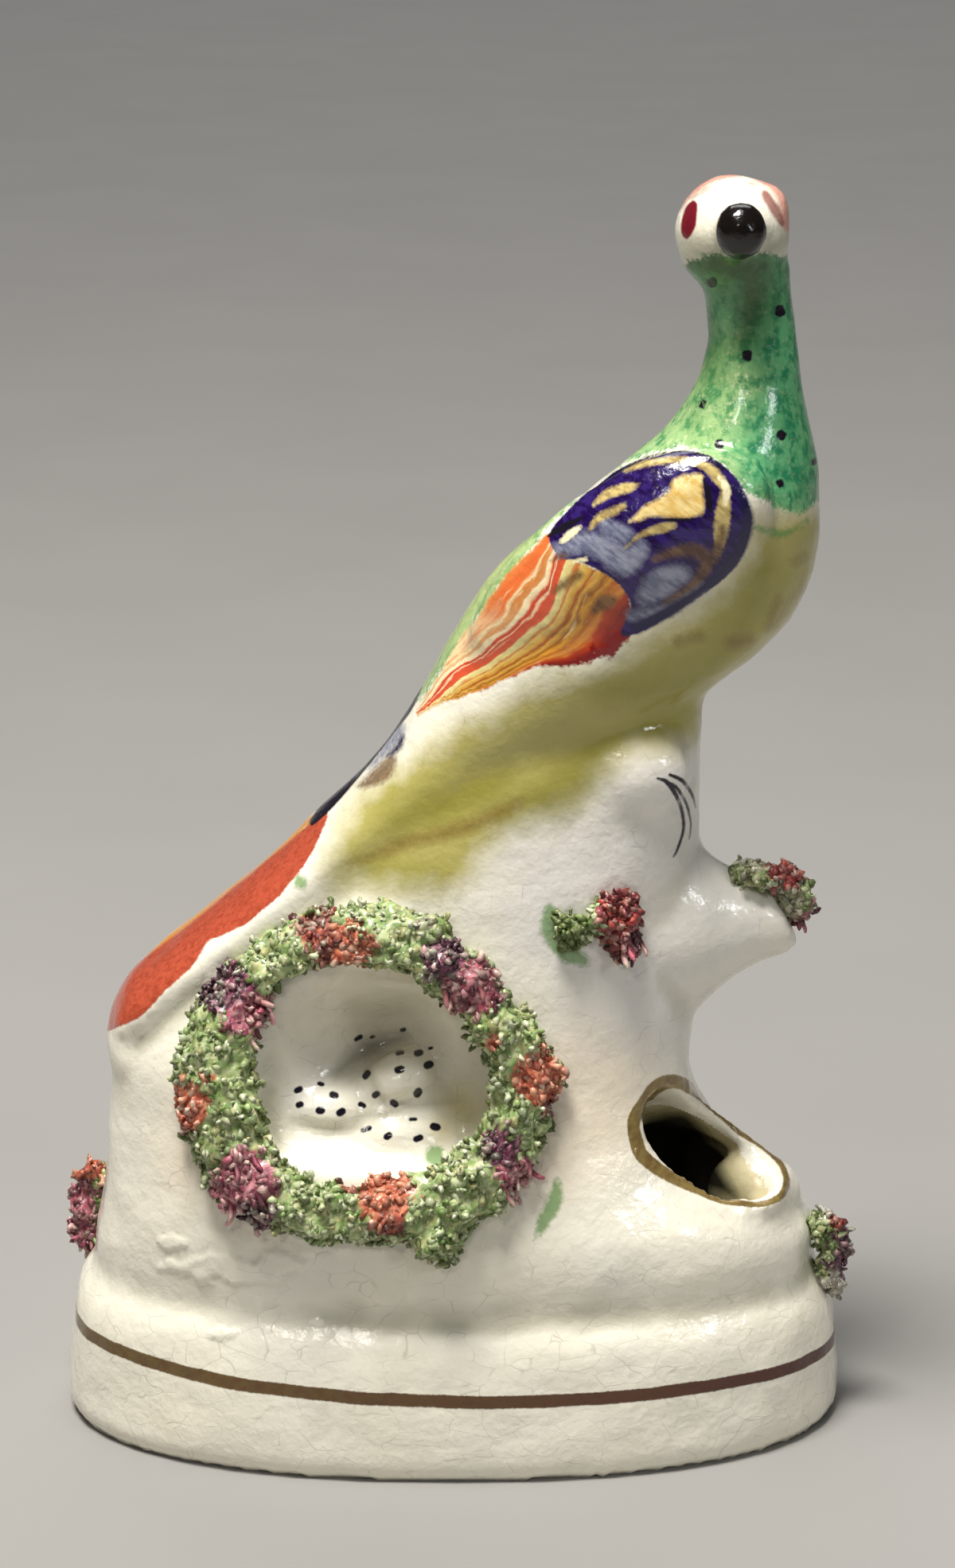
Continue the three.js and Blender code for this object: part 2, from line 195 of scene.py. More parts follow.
def move_to(piece, points):
    piece.data.vertices.foreach_set("co", points.astype(np.float32).ravel())
    piece.data.update()


def in_cad_box(points):
    low, high = (np.array(corner) for corner in CAD_BOX)
    return np.clip(points, low, high)


def copy_of(node, name):
    """A copy of a CAD node as one closed skin, free of its loose triangles."""
    piece = put_in_scene(name, frame["nodes"][node].data.copy())
    piece.data.materials.clear()
    edit(piece)
    bpy.ops.mesh.remove_doubles(threshold=WELD_GAP * MM)
    end_edit()
    return piece


def weigh(piece, name, weights):
    """A vertex group with a weight for each vertex, in even steps."""
    group = piece.vertex_groups.new(name=name)
    steps = np.round(np.clip(weights, 0, 1) * WEIGHT_STEPS).astype(int)
    for step in range(1, WEIGHT_STEPS + 1):
        group.add(np.flatnonzero(steps == step).tolist(), step / WEIGHT_STEPS, "REPLACE")


# %% [markdown]
# ## The pressed clay body
# The real figure was pressed in a mould and dipped in thick glaze, so no edge on
# it is sharp. One way would be to sculpt it; here a copy of the CAD solid gets an
# even skin from the Remesh modifier, and is then smoothed. Plain smoothing would
# thin the neck, so each smoothing step is followed by one with a negative factor
# that swells the shape back: only the facets go.

# %% An even skin without facets
FIRST_VOXEL = 0.9
SMOOTH_BY = 0.6
SWELL_BY = -0.62


def remesh(piece, voxel):
    """An even skin of small squares, of a size in millimetres."""
    apply_modifier(piece, "REMESH", mode="VOXEL", voxel_size=voxel * MM)


def evened(piece, rounds, steps):
    """Smooths a piece and swells it back, again and again."""
    for _ in range(rounds):
        apply_modifier(piece, "SMOOTH", factor=SMOOTH_BY, iterations=steps)
        apply_modifier(piece, "SMOOTH", factor=SWELL_BY, iterations=steps)


figure = copy_of("figure", "glazed_figure")
remesh(figure, FIRST_VOXEL)
evened(figure, rounds=10, steps=4)
print("smoothed body:", len(figure.data.polygons), "faces")

# %% A soft bowl for the nest
BOWL_VIEW = (466, 1345)
BOWL_ACROSS = 150
BOWL_DOWN = 138
BOWL_FRONT = -19.5
BOWL_SMOOTHINGS = 160

at = places(figure)
away = (seen(at) - np.array(BOWL_VIEW)) / np.array([BOWL_ACROSS, BOWL_DOWN])
in_bowl = np.clip(3 - 3 * np.hypot(*away.T), 0, 1) * (at[:, 1] > BOWL_FRONT * MM) * (at[:, 1] < 0)
weigh(figure, "bowl", in_bowl)
apply_modifier(figure, "SMOOTH", factor=0.5, iterations=BOWL_SMOOTHINGS, vertex_group="bowl")
figure.vertex_groups.clear()
print("vertices in the bowl:", int((in_bowl > 0).sum()))

# %% [markdown]
# ## Parts that must stay crisp
# Smoothing also softens the smallest shapes: the eggs, the beak, the wing's
# shoulder and the lip of the quill hole. They are modelled again as rounded
# lumps in the same places, each started from a sphere or a circle, and fused to
# the body by a second, finer Remesh.

# %% Rounded lumps
def turned(middle, radii, slope=0, turn=0):
    """A sphere's place: its middle, its radii, and its turns about Z and then Y."""
    place = Matrix.Translation(Vector(middle) * MM)
    slope_turn = Matrix.Rotation(math.radians(-slope), 4, "Y")
    own_turn = Matrix.Rotation(math.radians(-turn), 4, "Z")
    return place @ slope_turn @ own_turn @ Matrix.Diagonal((*(Vector(radii) * MM), 1))


def lump(name, middle, radii, slope=0, turn=0, taper=0.0):
    """A sphere drawn out to its radii, with one end thinner than the other."""
    only()
    bpy.ops.mesh.primitive_uv_sphere_add(segments=48, ring_count=32, radius=1)
    piece = bpy.context.object
    piece.name = name
    if taper:
        apply_modifier(
            piece, "SIMPLE_DEFORM", deform_method="TAPER", deform_axis="X", factor=taper
        )
    settle(piece, turned(middle, radii, slope, turn))
    return piece


BEAK = (29.75, -8.3, 135.35)
BEAK_RADII = (2.7, 2.7, 3.0)
added = [
    lump("beak", BEAK, BEAK_RADII),
    lump("wing", (17.4, -8.2, 99.2), (18.9, 5.0, 8.9), 37, 7, 0.25),
    lump("tail_end", (-35.3, -0.5, 43.8), (3.3, 8.0, 5.8)),
    lump("egg_left", (-13.4, -10.9, 39.6), (4.5, 2.9, 2.7), -8, 0, 0.25),
    lump("egg_top", (-6.2, -9.9, 42.6), (4.4, 3.0, 2.9), 24, 0, 0.2),
    lump("egg_low", (-5.6, -12.2, 37.0), (4.9, 2.7, 2.3), 4, 0, -0.2),
]
print("lumps:", ", ".join(piece.name for piece in added))

# %% [markdown]
# ## The quill hole's lip
# The mouth is a leaning oval with a rolled lip that dips at the back. The lip
# could be a torus, but a circle drawn as a curve takes the oval's two sizes
# first and its round section after, so the lip is as thick all the way round.
# The dip is then one formula of the angle, used on the lip and on the body.

# %% Places round the mouth
MOUTH = Vector((28, -7.5, 33.2)) * MM
MOUTH_OUT = Vector((0.343, -0.646, 0.682)).normalized()
MOUTH_LONG = Vector((0.850, -0.104, -0.516)).normalized()
MOUTH_SHORT = MOUTH_OUT.cross(MOUTH_LONG).normalized()
MOUTH_WAYS = np.array([MOUTH_LONG, MOUTH_SHORT, MOUTH_OUT])
LIP_HALF_LONG = 9.75
LIP_HALF_SHORT = 5.4
RIM_DIP = 2.2
DIP_MIDDLE = 72
DIP_REACH = 40


def from_mouth(points):
    """Places in millimetres along the mouth, across it and out of it."""
    return (points - np.array(MOUTH)) / MM @ MOUTH_WAYS.T


def on_oval(spots):
    """Places as shares of the lip's oval, which has size 1 on its line."""
    return spots[:, 0] / LIP_HALF_LONG, spots[:, 1] / LIP_HALF_SHORT


def angle_round(spots):
    """Degrees round the mouth, from its long axis towards its short one."""
    along, across = on_oval(spots)
    return np.degrees(np.arctan2(across, along))


def rim_dip(spots):
    """How far the rim dips at each place's angle round the mouth."""
    return RIM_DIP * np.exp(-(((angle_round(spots) - DIP_MIDDLE) / DIP_REACH) ** 2))


def dipped(piece, share):
    """Lowers a piece along the mouth's direction where the rim dips."""
    at = places(piece)
    spots = from_mouth(at)
    move_to(piece, at - (share(spots) * rim_dip(spots) * MM)[:, None] * np.array(MOUTH_OUT))


def near_rim(spots):
    """1 at the body's rim, fading away from it and down into the hole."""
    around = np.hypot(*on_oval(spots))
    return np.clip(2.2 - 2 * np.abs(around - 1.1), 0, 1) * np.clip(1 + spots[:, 2] / 6, 0, 1)


dipped(figure, near_rim)
print("the mouth looks out along", [round(way, 2) for way in MOUTH_OUT])

# %% The rolled lip
LIP_RADIUS = 1.15

only()
bpy.ops.curve.primitive_bezier_circle_add(radius=1)
lip = bpy.context.object
lip.name = "lip"
lip.scale = (LIP_HALF_LONG * MM, LIP_HALF_SHORT * MM, 1)
bpy.ops.object.transform_apply()
lip.data.bevel_depth = LIP_RADIUS * MM
lip.data.bevel_resolution = 5
lip.data.resolution_u = 24
bpy.ops.object.convert(target="MESH")
lip = bpy.context.object
mouth_frame = Matrix.Translation(MOUTH) @ Matrix(MOUTH_WAYS.tolist()).transposed().to_4x4()
settle(lip, mouth_frame)
dipped(lip, lambda spots: 1.0)
added.append(lip)
print("lip:", len(lip.data.polygons), "faces")

# %% The near wall inside the quill hole
INNER_WALL = (8.5, 2.6, -6.8)
INNER_WALL_RADII = (5.2, 4.4, 6.2)

inner_wall = lump("inner_wall", (0, 0, 0), INNER_WALL_RADII)
settle(inner_wall, mouth_frame @ Matrix.Translation(Vector(INNER_WALL) * MM))
added.append(inner_wall)
print("pieces to fuse:", len(added))

# %% Fuse them to the body
SECOND_VOXEL = 0.77

only(*added, figure)
bpy.ops.object.join()
remesh(figure, SECOND_VOXEL)
evened(figure, rounds=2, steps=3)
print("fused body:", len(figure.data.polygons), "faces")

# %% [markdown]
# ## More vertices where the brush went
# Paint will be stored on the vertices, so the painted places need them closer
# together. Subdividing the faces there is cheaper than a finer skin all over.
# The places are named by where they are seen in the picture.

# %% Subdivide the painted places
def faces_seen(piece, left, top, right, bottom):
    """Which faces look forward and are seen inside a rectangle of the picture."""
    middles = rows(piece.data.polygons, "center")
    in_view = (rows(piece.data.polygons, "normal") * (EYE - middles)).sum(axis=1) > 0
    across, down = seen(middles).T
    return in_view & (across > left) & (across < right) & (down > top) & (down < bottom)


def subdivide(piece, chosen):
    edit(piece)
    bpy.ops.mesh.select_all(action="DESELECT")
    end_edit()
    piece.data.polygons.foreach_set("select", chosen)
    bpy.ops.object.mode_set(mode="EDIT")
    bpy.ops.mesh.subdivide(number_cuts=1, smoothness=0)
    end_edit()


PAINTED = {
    "wing": (520, 560, 960, 850), "head": (830, 210, 1000, 345), "eggs": (355, 1280, 575, 1445),
    "claws": (820, 965, 895, 1095), "hole": (780, 1350, 1010, 1530),
    "flakes": (120, 1530, 420, 1700),
}
FINEST = ["eggs", "claws"]

for name in [*PAINTED, *FINEST]:
    subdivide(figure, faces_seen(figure, *PAINTED[name]))
apply_modifier(figure, "SMOOTH", factor=0.5, iterations=2)
print("figure with paint places:", len(figure.data.polygons), "faces")

# %% [markdown]
# ## Relief in the glaze
# Thick glaze never lies flat: it swells in slow waves, and under the wreath it
# dried in flakes with ragged lower edges. The waves come from the Displace
# modifier with a Clouds texture. The flakes need an edge that follows a ragged
# line, so those vertices are moved out along their normals by a number worked
# out from noise: a fractal above a threshold makes a plateau with a broken rim.

# %% Slow waves
WAVES_FROM = 1.5


def swell(piece, name, size, strength, middle=0.5, **more):
    """Swells and sinks a piece by clouds of a size, both in millimetres."""
    clouds = bpy.data.textures.new(name, "CLOUDS")
    clouds.noise_scale = size * MM
    clouds.noise_depth = 1
    apply_modifier(
        piece, "DISPLACE", texture=clouds, texture_coords="GLOBAL",
        strength=strength * MM, mid_level=middle, **more,
    )


at = places(figure) / MM
above_base = np.clip((at[:, 2] - WAVES_FROM) / 3, 0, 1)
off_beak = np.clip(np.linalg.norm(at - np.array(BEAK), axis=1) / 2 - 1.5, 0, 1)
weigh(figure, "glazed", above_base * off_beak)
swell(figure, "waves", 9.0, 0.55, vertex_group="glazed")
swell(figure, "ripples", 3.2, 0.16, vertex_group="glazed")
print("vertices that swell:", int((above_base * off_beak > 0).sum()))

# %% Ragged flakes under the wreath
FLAKE_HEIGHT = 0.22
FLAKE_FRONT = -6
TORN_SIZE = 2.1
TORN_BY = 0.6
FLAKE_PLACES = (
    (268, 1592, 60, 15), (350, 1584, 28, 14), (398, 1660, 12, 7),
    (276, 1676, 20, 7), (310, 1604, 44, 10), (430, 1562, 30, 12), (215, 1562, 22, 10),
)


def soft_step(value, low, high):
    share = np.clip((value - low) / (high - low), 0, 1)
    return share * share * (3 - 2 * share)


def flakes(points, picture):
    """How much of a flake's height each point has, from 0 to 1."""
    raised = np.zeros(len(points))
    for across, down, half_wide, half_high in FLAKE_PLACES:
        away = (picture[:, 0] - across) / half_wide, (picture[:, 1] - down) / half_high
        reach = 1 - np.hypot(*away)
        for i in np.flatnonzero((reach > -0.5) & (points[:, 1] < FLAKE_FRONT * MM)):
            torn = noise.fractal(Vector(points[i]) / (TORN_SIZE * MM), 0.8, 2.0, 4)
            raised[i] = max(raised[i], soft_step(reach[i] + TORN_BY * torn, 0.0, 0.2))
    return raised


at = places(figure)
raised = flakes(at, seen(at))
move_to(figure, at + facing(figure) * (raised * FLAKE_HEIGHT * MM)[:, None])
print("vertices on flakes:", int((raised > 0.5).sum()))

# %% The dent between the eggs
DENT_VIEW = (462, 1328)
DENT_LONG = 62
DENT_SHORT = 24
DENT_SLOPE = math.radians(-27)
DENT_DEPTH = 1.1
DENT_WAY = np.array([0, 1, -0.3])

at = places(figure)
away = seen(at) - np.array(DENT_VIEW)
lengthwise = away @ np.array([math.cos(DENT_SLOPE), math.sin(DENT_SLOPE)])
crosswise = away @ np.array([-math.sin(DENT_SLOPE), math.cos(DENT_SLOPE)])
dent = np.exp(-((lengthwise / DENT_LONG) ** 2) - (crosswise / DENT_SHORT) ** 2) * (at[:, 1] < 0)
move_to(figure, at + DENT_WAY * (dent * DENT_DEPTH * MM)[:, None])
print("deepest in the dent:", round(float(dent.max() * DENT_DEPTH), 2), "mm")

# %% A flat foot inside the CAD box
FOOT = 0.45

at = places(figure)
on_foot = at[:, 2] < FOOT * MM
at[on_foot, 2] = 0
move_to(figure, in_cad_box(at))
print("vertices on the foot:", int(on_foot.sum()))

# %% [markdown]
# ## Where the paint lies
# The decoration was brushed freehand: strokes and washes in half a dozen
# enamels. An image would be one way to keep it, but it would be stuck to one
# size. Here each colour is a number on every vertex, saying how many millimetres
# inside the paint that vertex lies, so its edge stays crisp however near the
# view is. Strokes and outlines are smooth curves through a few points.

# %% Smooth lines
def smooth_line(points, closed=False, steps=7):
    """A Catmull-Rom curve through points, which may carry a half width too."""
    points = np.array(points, float)
    if closed:
        points = np.vstack([points[-1], points, points[:2]])
    else:
        points = np.vstack([2 * points[0] - points[1], points, 2 * points[-1] - points[-2]])
    share = np.linspace(0, 1, steps, endpoint=False)[:, None]
    runs = []
    for before, start, end, after in zip(points, points[1:], points[2:], points[3:]):
        bend = 2 * before - 5 * start + 4 * end - after
        twist = 3 * (start - end) + after - before
        runs.append(
            0.5 * (2 * start + (end - before) * share + bend * share**2 + twist * share**3)
        )
    if not closed:
        runs.append(points[-2:-1])
    return np.vstack(runs)


def gap_to(line):
    """Each vertex's distance to a line in pixels, less the line's half width."""
    best = np.full(len(PICTURE), np.inf)
    for start, end in zip(line, line[1:]):
        step = end[:2] - start[:2]
        length = max(math.hypot(*step), 1e-6)
        away = PICTURE - start[:2]
        share = np.clip(away @ step / length**2, 0, 1)
        gap = np.hypot(*(away - share[:, None] * step).T)
        if len(start) > 2:
            gap = gap - (start[2] + share * (end[2] - start[2]))
        best = np.minimum(best, gap)
    return best


AT = places(figure) / MM
PICTURE = seen(AT * MM)
print("vertices to paint:", len(AT))

# %% Strokes, blobs and areas
PIXELS_PER_MM = 12
FAR_OUTSIDE = -9.0
paint = {}


def strokes(*lines):
    """How far inside any of some brush strokes each vertex lies, in millimetres."""
    return np.max([-gap_to(smooth_line(line)) / PIXELS_PER_MM for line in lines], axis=0)


def blobs(*places_and_sizes):
    """The same for round dabs, each a place and a radius."""
    fields = [
        (size - np.hypot(PICTURE[:, 0] - across, PICTURE[:, 1] - down)) / PIXELS_PER_MM
        for across, down, size in places_and_sizes
    ]
    return np.max(fields, axis=0)


def area(outline):
    """The same for a closed outline."""
    line = smooth_line(outline, closed=True)
    line = np.vstack([line, line[:1]])
    gap = gap_to(line) / PIXELS_PER_MM
    inside = np.zeros(len(PICTURE), bool)
    for (x0, y0), (x1, y1) in zip(line, line[1:]):
        if y0 == y1:
            continue
        crosses = (y0 > PICTURE[:, 1]) != (y1 > PICTURE[:, 1])
        reach = x0 + (PICTURE[:, 1] - y0) * (x1 - x0) / (y1 - y0)
        inside ^= crosses & (PICTURE[:, 0] < reach)
    return np.where(inside, gap, -gap)


def brushed(name, field, back=0.0):
    """Keeps a field as paint, ended where the figure passes behind a depth."""
    kept = np.minimum(field, back - AT[:, 1])
    paint[name] = np.maximum(paint.get(name, FAR_OUTSIDE), kept)
    print(name, "is on", int((kept > 0).sum()), "vertices")


# %% [markdown]
# ## What the wing hides
# A stroke placed in the picture would go right through the figure and come out
# behind it. A depth limit stops most of them, but the wing's ridge leans, so its
# paint also needs to know what the eye can't see. A ray from each vertex to the
# eye tells that, and the normal tells how far the surface has turned away.

# %% What the wing hides
WING_BACK = -1.0
OFF_THE_SKIN = 0.4

bpy.context.view_layer.update()
own_tree = BVHTree.FromObject(figure, bpy.context.evaluated_depsgraph_get())
normals = facing(figure)
toward_eye = EYE - AT * MM
toward_eye /= np.linalg.norm(toward_eye, axis=1)[:, None]
turned_to_eye = (normals * toward_eye).sum(axis=1)
starts = AT * MM + normals * OFF_THE_SKIN * MM
hidden = np.array([
    own_tree.ray_cast(Vector(start), Vector(way))[0] is not None
    for start, way in zip(starts, toward_eye)
])
# Both fade, like a paint's edge, as the surface turns from the eye.
on_near_side = np.minimum(6 * turned_to_eye + 0.8, np.where(hidden, -3.0, -FAR_OUTSIDE))
behind_the_wing = np.maximum(-6 * turned_to_eye - 0.6, np.where(hidden, 3.0, FAR_OUTSIDE))


def brushed_on_wing(name, field):
    """Paint of the wing, kept off what lies behind its ridge."""
    brushed(name, np.minimum(field, on_near_side), WING_BACK)


print("hidden vertices:", int(hidden.sum()))

# %% [markdown]
# ## The painter's strokes
# Each cell below lays one group of paints: outlines for the broad ones, and
# strokes, whose third number is their half width, for the rest. A paint ends
# where the figure passes a depth, so most of them leave the back plain.

# %% Green neck and yellow-green back
TO_THE_BACK = 40

brushed("green", area([
    (800, 345), (850, 338), (880, 322), (930, 317), (985, 322), (1060, 330), (1075, 480),
    (1080, 640), (1034, 630), (1005, 645), (966, 635), (942, 621), (922, 604), (905, 585),
    (886, 570), (858, 562), (816, 571), (777, 587), (738, 612), (690, 664), (660, 700), (626, 742),
    (600, 780), (576, 815), (552, 850), (522, 884), (500, 860), (560, 740), (700, 560), (800, 500),
    (830, 400),
]), back=TO_THE_BACK)
brushed("green", np.minimum(behind_the_wing, area([
    (930, 560), (960, 640), (900, 720), (800, 800), (640, 850), (500, 900), (540, 800), (660, 660),
    (780, 570), (860, 545),
])), back=TO_THE_BACK)
brushed("emerald", area([
    (820, 330), (1060, 330), (1080, 640), (1000, 650), (950, 632), (925, 600), (935, 540),
    (948, 480), (930, 440), (900, 425), (870, 410), (850, 380),
]), back=TO_THE_BACK)

# %% Shade on the neck, and a paler back
brushed("shaded_green", strokes(
    [(868, 330, 14), (905, 333, 28), (942, 342, 32), (942, 395, 22), (926, 430, 9)],
))
brushed("cheek_shade", strokes(
    [(862, 308, 3), (884, 318, 10), (925, 324, 8), (960, 318, 10), (984, 300, 5)],
))
brushed("dark_side", strokes(
    [(878, 380, 10), (888, 425, 14), (894, 465, 14), (884, 500, 8), (868, 528, 3)],
))
# A paler yellow-green along the bird's back.
brushed("faded_back", strokes(
    [
        (470, 900, 20), (520, 850, 18), (560, 790, 18), (610, 720, 20), (660, 655, 18),
        (720, 600, 8), (770, 565, 3),
    ],
), back=TO_THE_BACK)

# %% Head: crown, eyes and beak
brushed("pink", strokes(
    [(852, 262, 4), (858, 252, 5), (868, 242, 5), (886, 230, 5), (906, 223, 5), (928, 216, 5)],
    [(946, 217, 5), (960, 224, 7), (974, 235, 7), (984, 252, 6), (990, 285, 6)],
    [(880, 210, 14), (930, 200, 14), (980, 210, 14)],
), back=TO_THE_BACK)
brushed("red", area([
    (870, 252), (876, 256), (876, 266), (874, 284), (868, 296), (862, 301), (856, 293), (856, 280),
    (861, 262),
]))
brushed("faint_red", area([
    (959, 240), (965, 241), (972, 251), (979, 261), (986, 280), (982, 285), (972, 272), (964, 259),
    (957, 246),
]))
brushed("shadow_line", strokes(
    [(868, 250, 1), (880, 243, 2), (896, 235, 2), (918, 229, 1)],
    [(935, 228, 1), (942, 231, 2.5), (952, 232, 1)],
    [(958, 240, 1), (968, 250, 1.2), (978, 262, 1)],
))
from_beak = (AT - np.array(BEAK)) / np.array(BEAK_RADII)
paint["beak"] = (1.05 - np.linalg.norm(from_beak, axis=1)) * BEAK_RADII[0]

# %% The wing
brushed_on_wing("wing", area([
    (690, 672), (715, 640), (745, 612), (777, 591), (810, 577), (858, 567), (890, 573), (915, 590),
    (934, 615), (943, 650), (936, 692), (914, 724), (872, 755), (833, 780), (800, 797), (780, 797),
    (792, 765), (786, 745), (770, 728), (744, 713), (722, 704), (703, 700),
]))
brushed_on_wing("pale_blue", strokes(
    [(704, 690, 7), (735, 682, 14), (762, 690, 17), (786, 706, 15), (806, 690, 9)],
    [(812, 750, 10), (828, 735, 17), (848, 725, 14), (862, 722, 5)],
    [(760, 660, 8), (785, 672, 10)], [(795, 775, 6), (835, 768, 7), (880, 740, 6)],
))
brushed_on_wing("tan", strokes(
    [(785, 592, 2), (810, 583, 4), (850, 578, 4), (882, 584, 5), (900, 598, 7), (914, 618, 5)],
    [(911, 615, 4), (909, 640, 9), (906, 668, 9), (903, 694, 3)],
    [(803, 609, 1), (788, 613, 6), (766, 620, 6), (751, 630, 3), (746, 636, 1)],
    [(786, 634, 2), (772, 642, 5), (755, 650, 5), (744, 660, 3), (740, 668, 1)],
    [(848, 660, 3), (835, 663, 6), (812, 669, 4), (798, 678, 2), (786, 688, 1)],
))

# %% The wing's feathers and marks
brushed_on_wing("gold_feather", area([
    (791, 656), (810, 637), (832, 625), (842, 617), (846, 603), (862, 597), (882, 597), (882, 612),
    (884, 643), (867, 650), (837, 650), (817, 649), (802, 654),
]))
brushed_on_wing("brown", strokes(
    [
        (822, 703, 3), (848, 694, 6), (872, 692, 8), (888, 704, 8), (882, 722, 7), (862, 742, 5),
        (836, 758, 3),
    ],
    [(746, 768, 4), (758, 758, 10), (768, 756, 7)], [(698, 742, 4), (714, 732, 6), (728, 722, 5)],
    [(694, 704, 2), (708, 698, 4)], [(908, 662, 3), (904, 684, 6), (896, 704, 6)],
))
# Cream paint; the strokes at the top of the wing's right band also stand for the glint there:
# partly a painted highlight.
brushed_on_wing("cream", strokes(
    [(706, 681, 3), (716, 672, 5), (728, 663, 3)], [(720, 706, 2), (736, 703, 3)],
    [(902, 598, 2), (913, 614, 5), (911, 634, 3)],
))
brushed_on_wing("ink", strokes(
    [
        (738, 618, 1), (777, 592, 1.6), (820, 573, 1.4), (858, 568, 1.4), (888, 574, 2),
        (908, 590, 2.5),
    ],
    [(689, 674, 2), (706, 664, 5), (730, 652, 3)], [(884, 600, 1.5), (890, 620, 4), (892, 645, 3)],
    [(806, 657, 1), (830, 654, 2), (872, 653, 1.5)],
))
brushed_on_wing("blue_mark", strokes(
    [
        (918, 606, 2), (934, 630, 6), (940, 656, 7), (931, 690, 6), (913, 714, 6), (880, 742, 5),
        (845, 766, 7), (800, 790, 7),
    ],
))

# %% [markdown]
# ## Streaked feathers under the wing
# The strokes there fan out, so stripes along one straight line would be wrong.
# Five guide lines follow the flow instead. Each vertex stores how far across the
# guides it lies and how far along them, and the finish draws the streaks later.

# %% Streaked feathers under the wing
brushed_on_wing("feathers", area([
    (690, 668), (707, 683), (708, 698), (744, 713), (770, 728), (788, 746), (792, 768), (798, 785),
    (782, 800), (768, 822), (754, 822), (740, 830), (712, 838), (676, 836), (658, 843), (634, 857),
    (596, 872), (556, 886), (524, 897), (545, 860), (560, 834), (582, 800), (603, 768), (628, 735),
    (652, 705), (670, 688),
]))
FEATHER_GUIDES = [
    [
        (685, 667), (662, 690), (640, 715), (617, 740), (600, 767), (582, 792), (565, 815),
        (550, 840), (525, 882),
    ],
    [
        (700, 685), (690, 710), (685, 730), (662, 752), (650, 777), (620, 800), (597, 822),
        (560, 845), (532, 887),
    ],
    [
        (715, 702), (702, 735), (697, 760), (685, 780), (660, 800), (635, 820), (605, 840),
        (575, 860), (535, 892),
    ],
    [
        (772, 730), (750, 745), (737, 767), (725, 790), (705, 810), (680, 825), (650, 842),
        (605, 865), (537, 895),
    ],
    [
        (797, 767), (787, 792), (765, 815), (735, 830), (712, 837), (680, 840), (650, 852),
        (605, 871), (540, 898),
    ],
]
GUIDE_SHARES = [0, 3, 5, 7.8, 10]
GUIDE_LENGTH = 22

# %% How far across and along the feathers
ACROSS_STEPS = 81
ALONG_STEPS = 60
NEAREST = 4


def resampled(wanted, known, line):
    """A line's points read off at other shares of its length."""
    return [np.interp(wanted, known, line[:, axis]) for axis in (0, 1)]


def between_guides():
    """How far across and along the feathers each vertex lies, by the nearest of many samples."""
    shares = np.linspace(0, 1, ALONG_STEPS)
    across = np.linspace(0, GUIDE_SHARES[-1], ACROSS_STEPS)
    lines = [smooth_line(guide, steps=8) for guide in FEATHER_GUIDES]
    lines = np.array([resampled(shares, np.linspace(0, 1, len(line)), line) for line in lines])
    sheet = np.array([
        resampled(across, GUIDE_SHARES, lines[:, :, step]) for step in range(ALONG_STEPS)
    ])
    samples = sheet.transpose(0, 2, 1).reshape(-1, 2)
    along = np.repeat(shares * GUIDE_LENGTH, ACROSS_STEPS)
    values = np.stack([np.tile(across, ALONG_STEPS), along], axis=1)
    found = np.zeros((len(PICTURE), 2))
    for i in np.flatnonzero(paint["feathers"] > -1.5):
        gaps = np.hypot(*(samples - PICTURE[i]).T)
        nearest = np.argpartition(gaps, NEAREST)[:NEAREST]
        weights = 1 / (gaps[nearest] + 0.1) ** 2
        found[i] = weights @ values[nearest] / weights.sum()
    return found.T


paint["across_feathers"], paint["along_feathers"] = between_guides()

# %% Dark ends of the feathers
brushed_on_wing("dark_red", strokes(
    [(797, 786, 4), (782, 800, 7), (768, 818, 6), (752, 822, 5), (735, 830, 4), (712, 836, 2)],
    [(772, 800, 3), (768, 828, 2)], [(745, 812, 3), (742, 832, 2)], [(786, 795, 3), (790, 808, 2)],
))

# %% The belly's yellow-green wash, partly painted shade
# The belly's wash ends a little past the side, where the skin turns from the eye.
past_the_side = 3 + 9 * turned_to_eye
brushed("olive", np.minimum(past_the_side, area([
    (412, 1092), (430, 1040), (454, 998), (510, 958), (565, 922), (620, 896), (660, 868),
    (712, 848), (772, 832), (800, 802), (850, 778), (900, 744), (936, 694), (952, 650), (1045, 642),
    (1060, 720), (1020, 810), (960, 865), (900, 905), (878, 930), (838, 938), (799, 941),
    (758, 971), (716, 1012), (640, 1038), (622, 1056), (598, 1088), (574, 1112), (520, 1118),
    (460, 1108), (424, 1109),
])), back=14)
# A darker olive along the belly's lower edge and under the wing: paint and painted shade.
brushed("olive_edge", strokes(
    [(640, 1020, 14), (700, 1000, 22), (745, 968, 14)],
    [(425, 1095, 8), (470, 1098, 6), (540, 1105, 6)],
    [(500, 1030, 16), (570, 1010, 26), (630, 985, 14)],
    [(770, 868, 12), (830, 866, 22), (890, 838, 22), (935, 780, 18), (960, 722, 10)],
))

# %% Lavender painted shade and warm tints
# A lavender tint on the trunk under the belly and left of the nest: painted shade.
brushed("cool", area([
    (620, 1075), (680, 1040), (740, 1010), (800, 960), (880, 950), (900, 1040), (960, 1080),
    (960, 1170), (900, 1240), (850, 1330), (780, 1330), (700, 1250), (640, 1180),
]))
brushed("cool", area([
    (360, 1240), (400, 1225), (410, 1300), (400, 1350), (360, 1360), (340, 1300),
]))
brushed("blush", blobs((740, 1385, 80), (700, 1440, 50), (250, 1450, 40)))

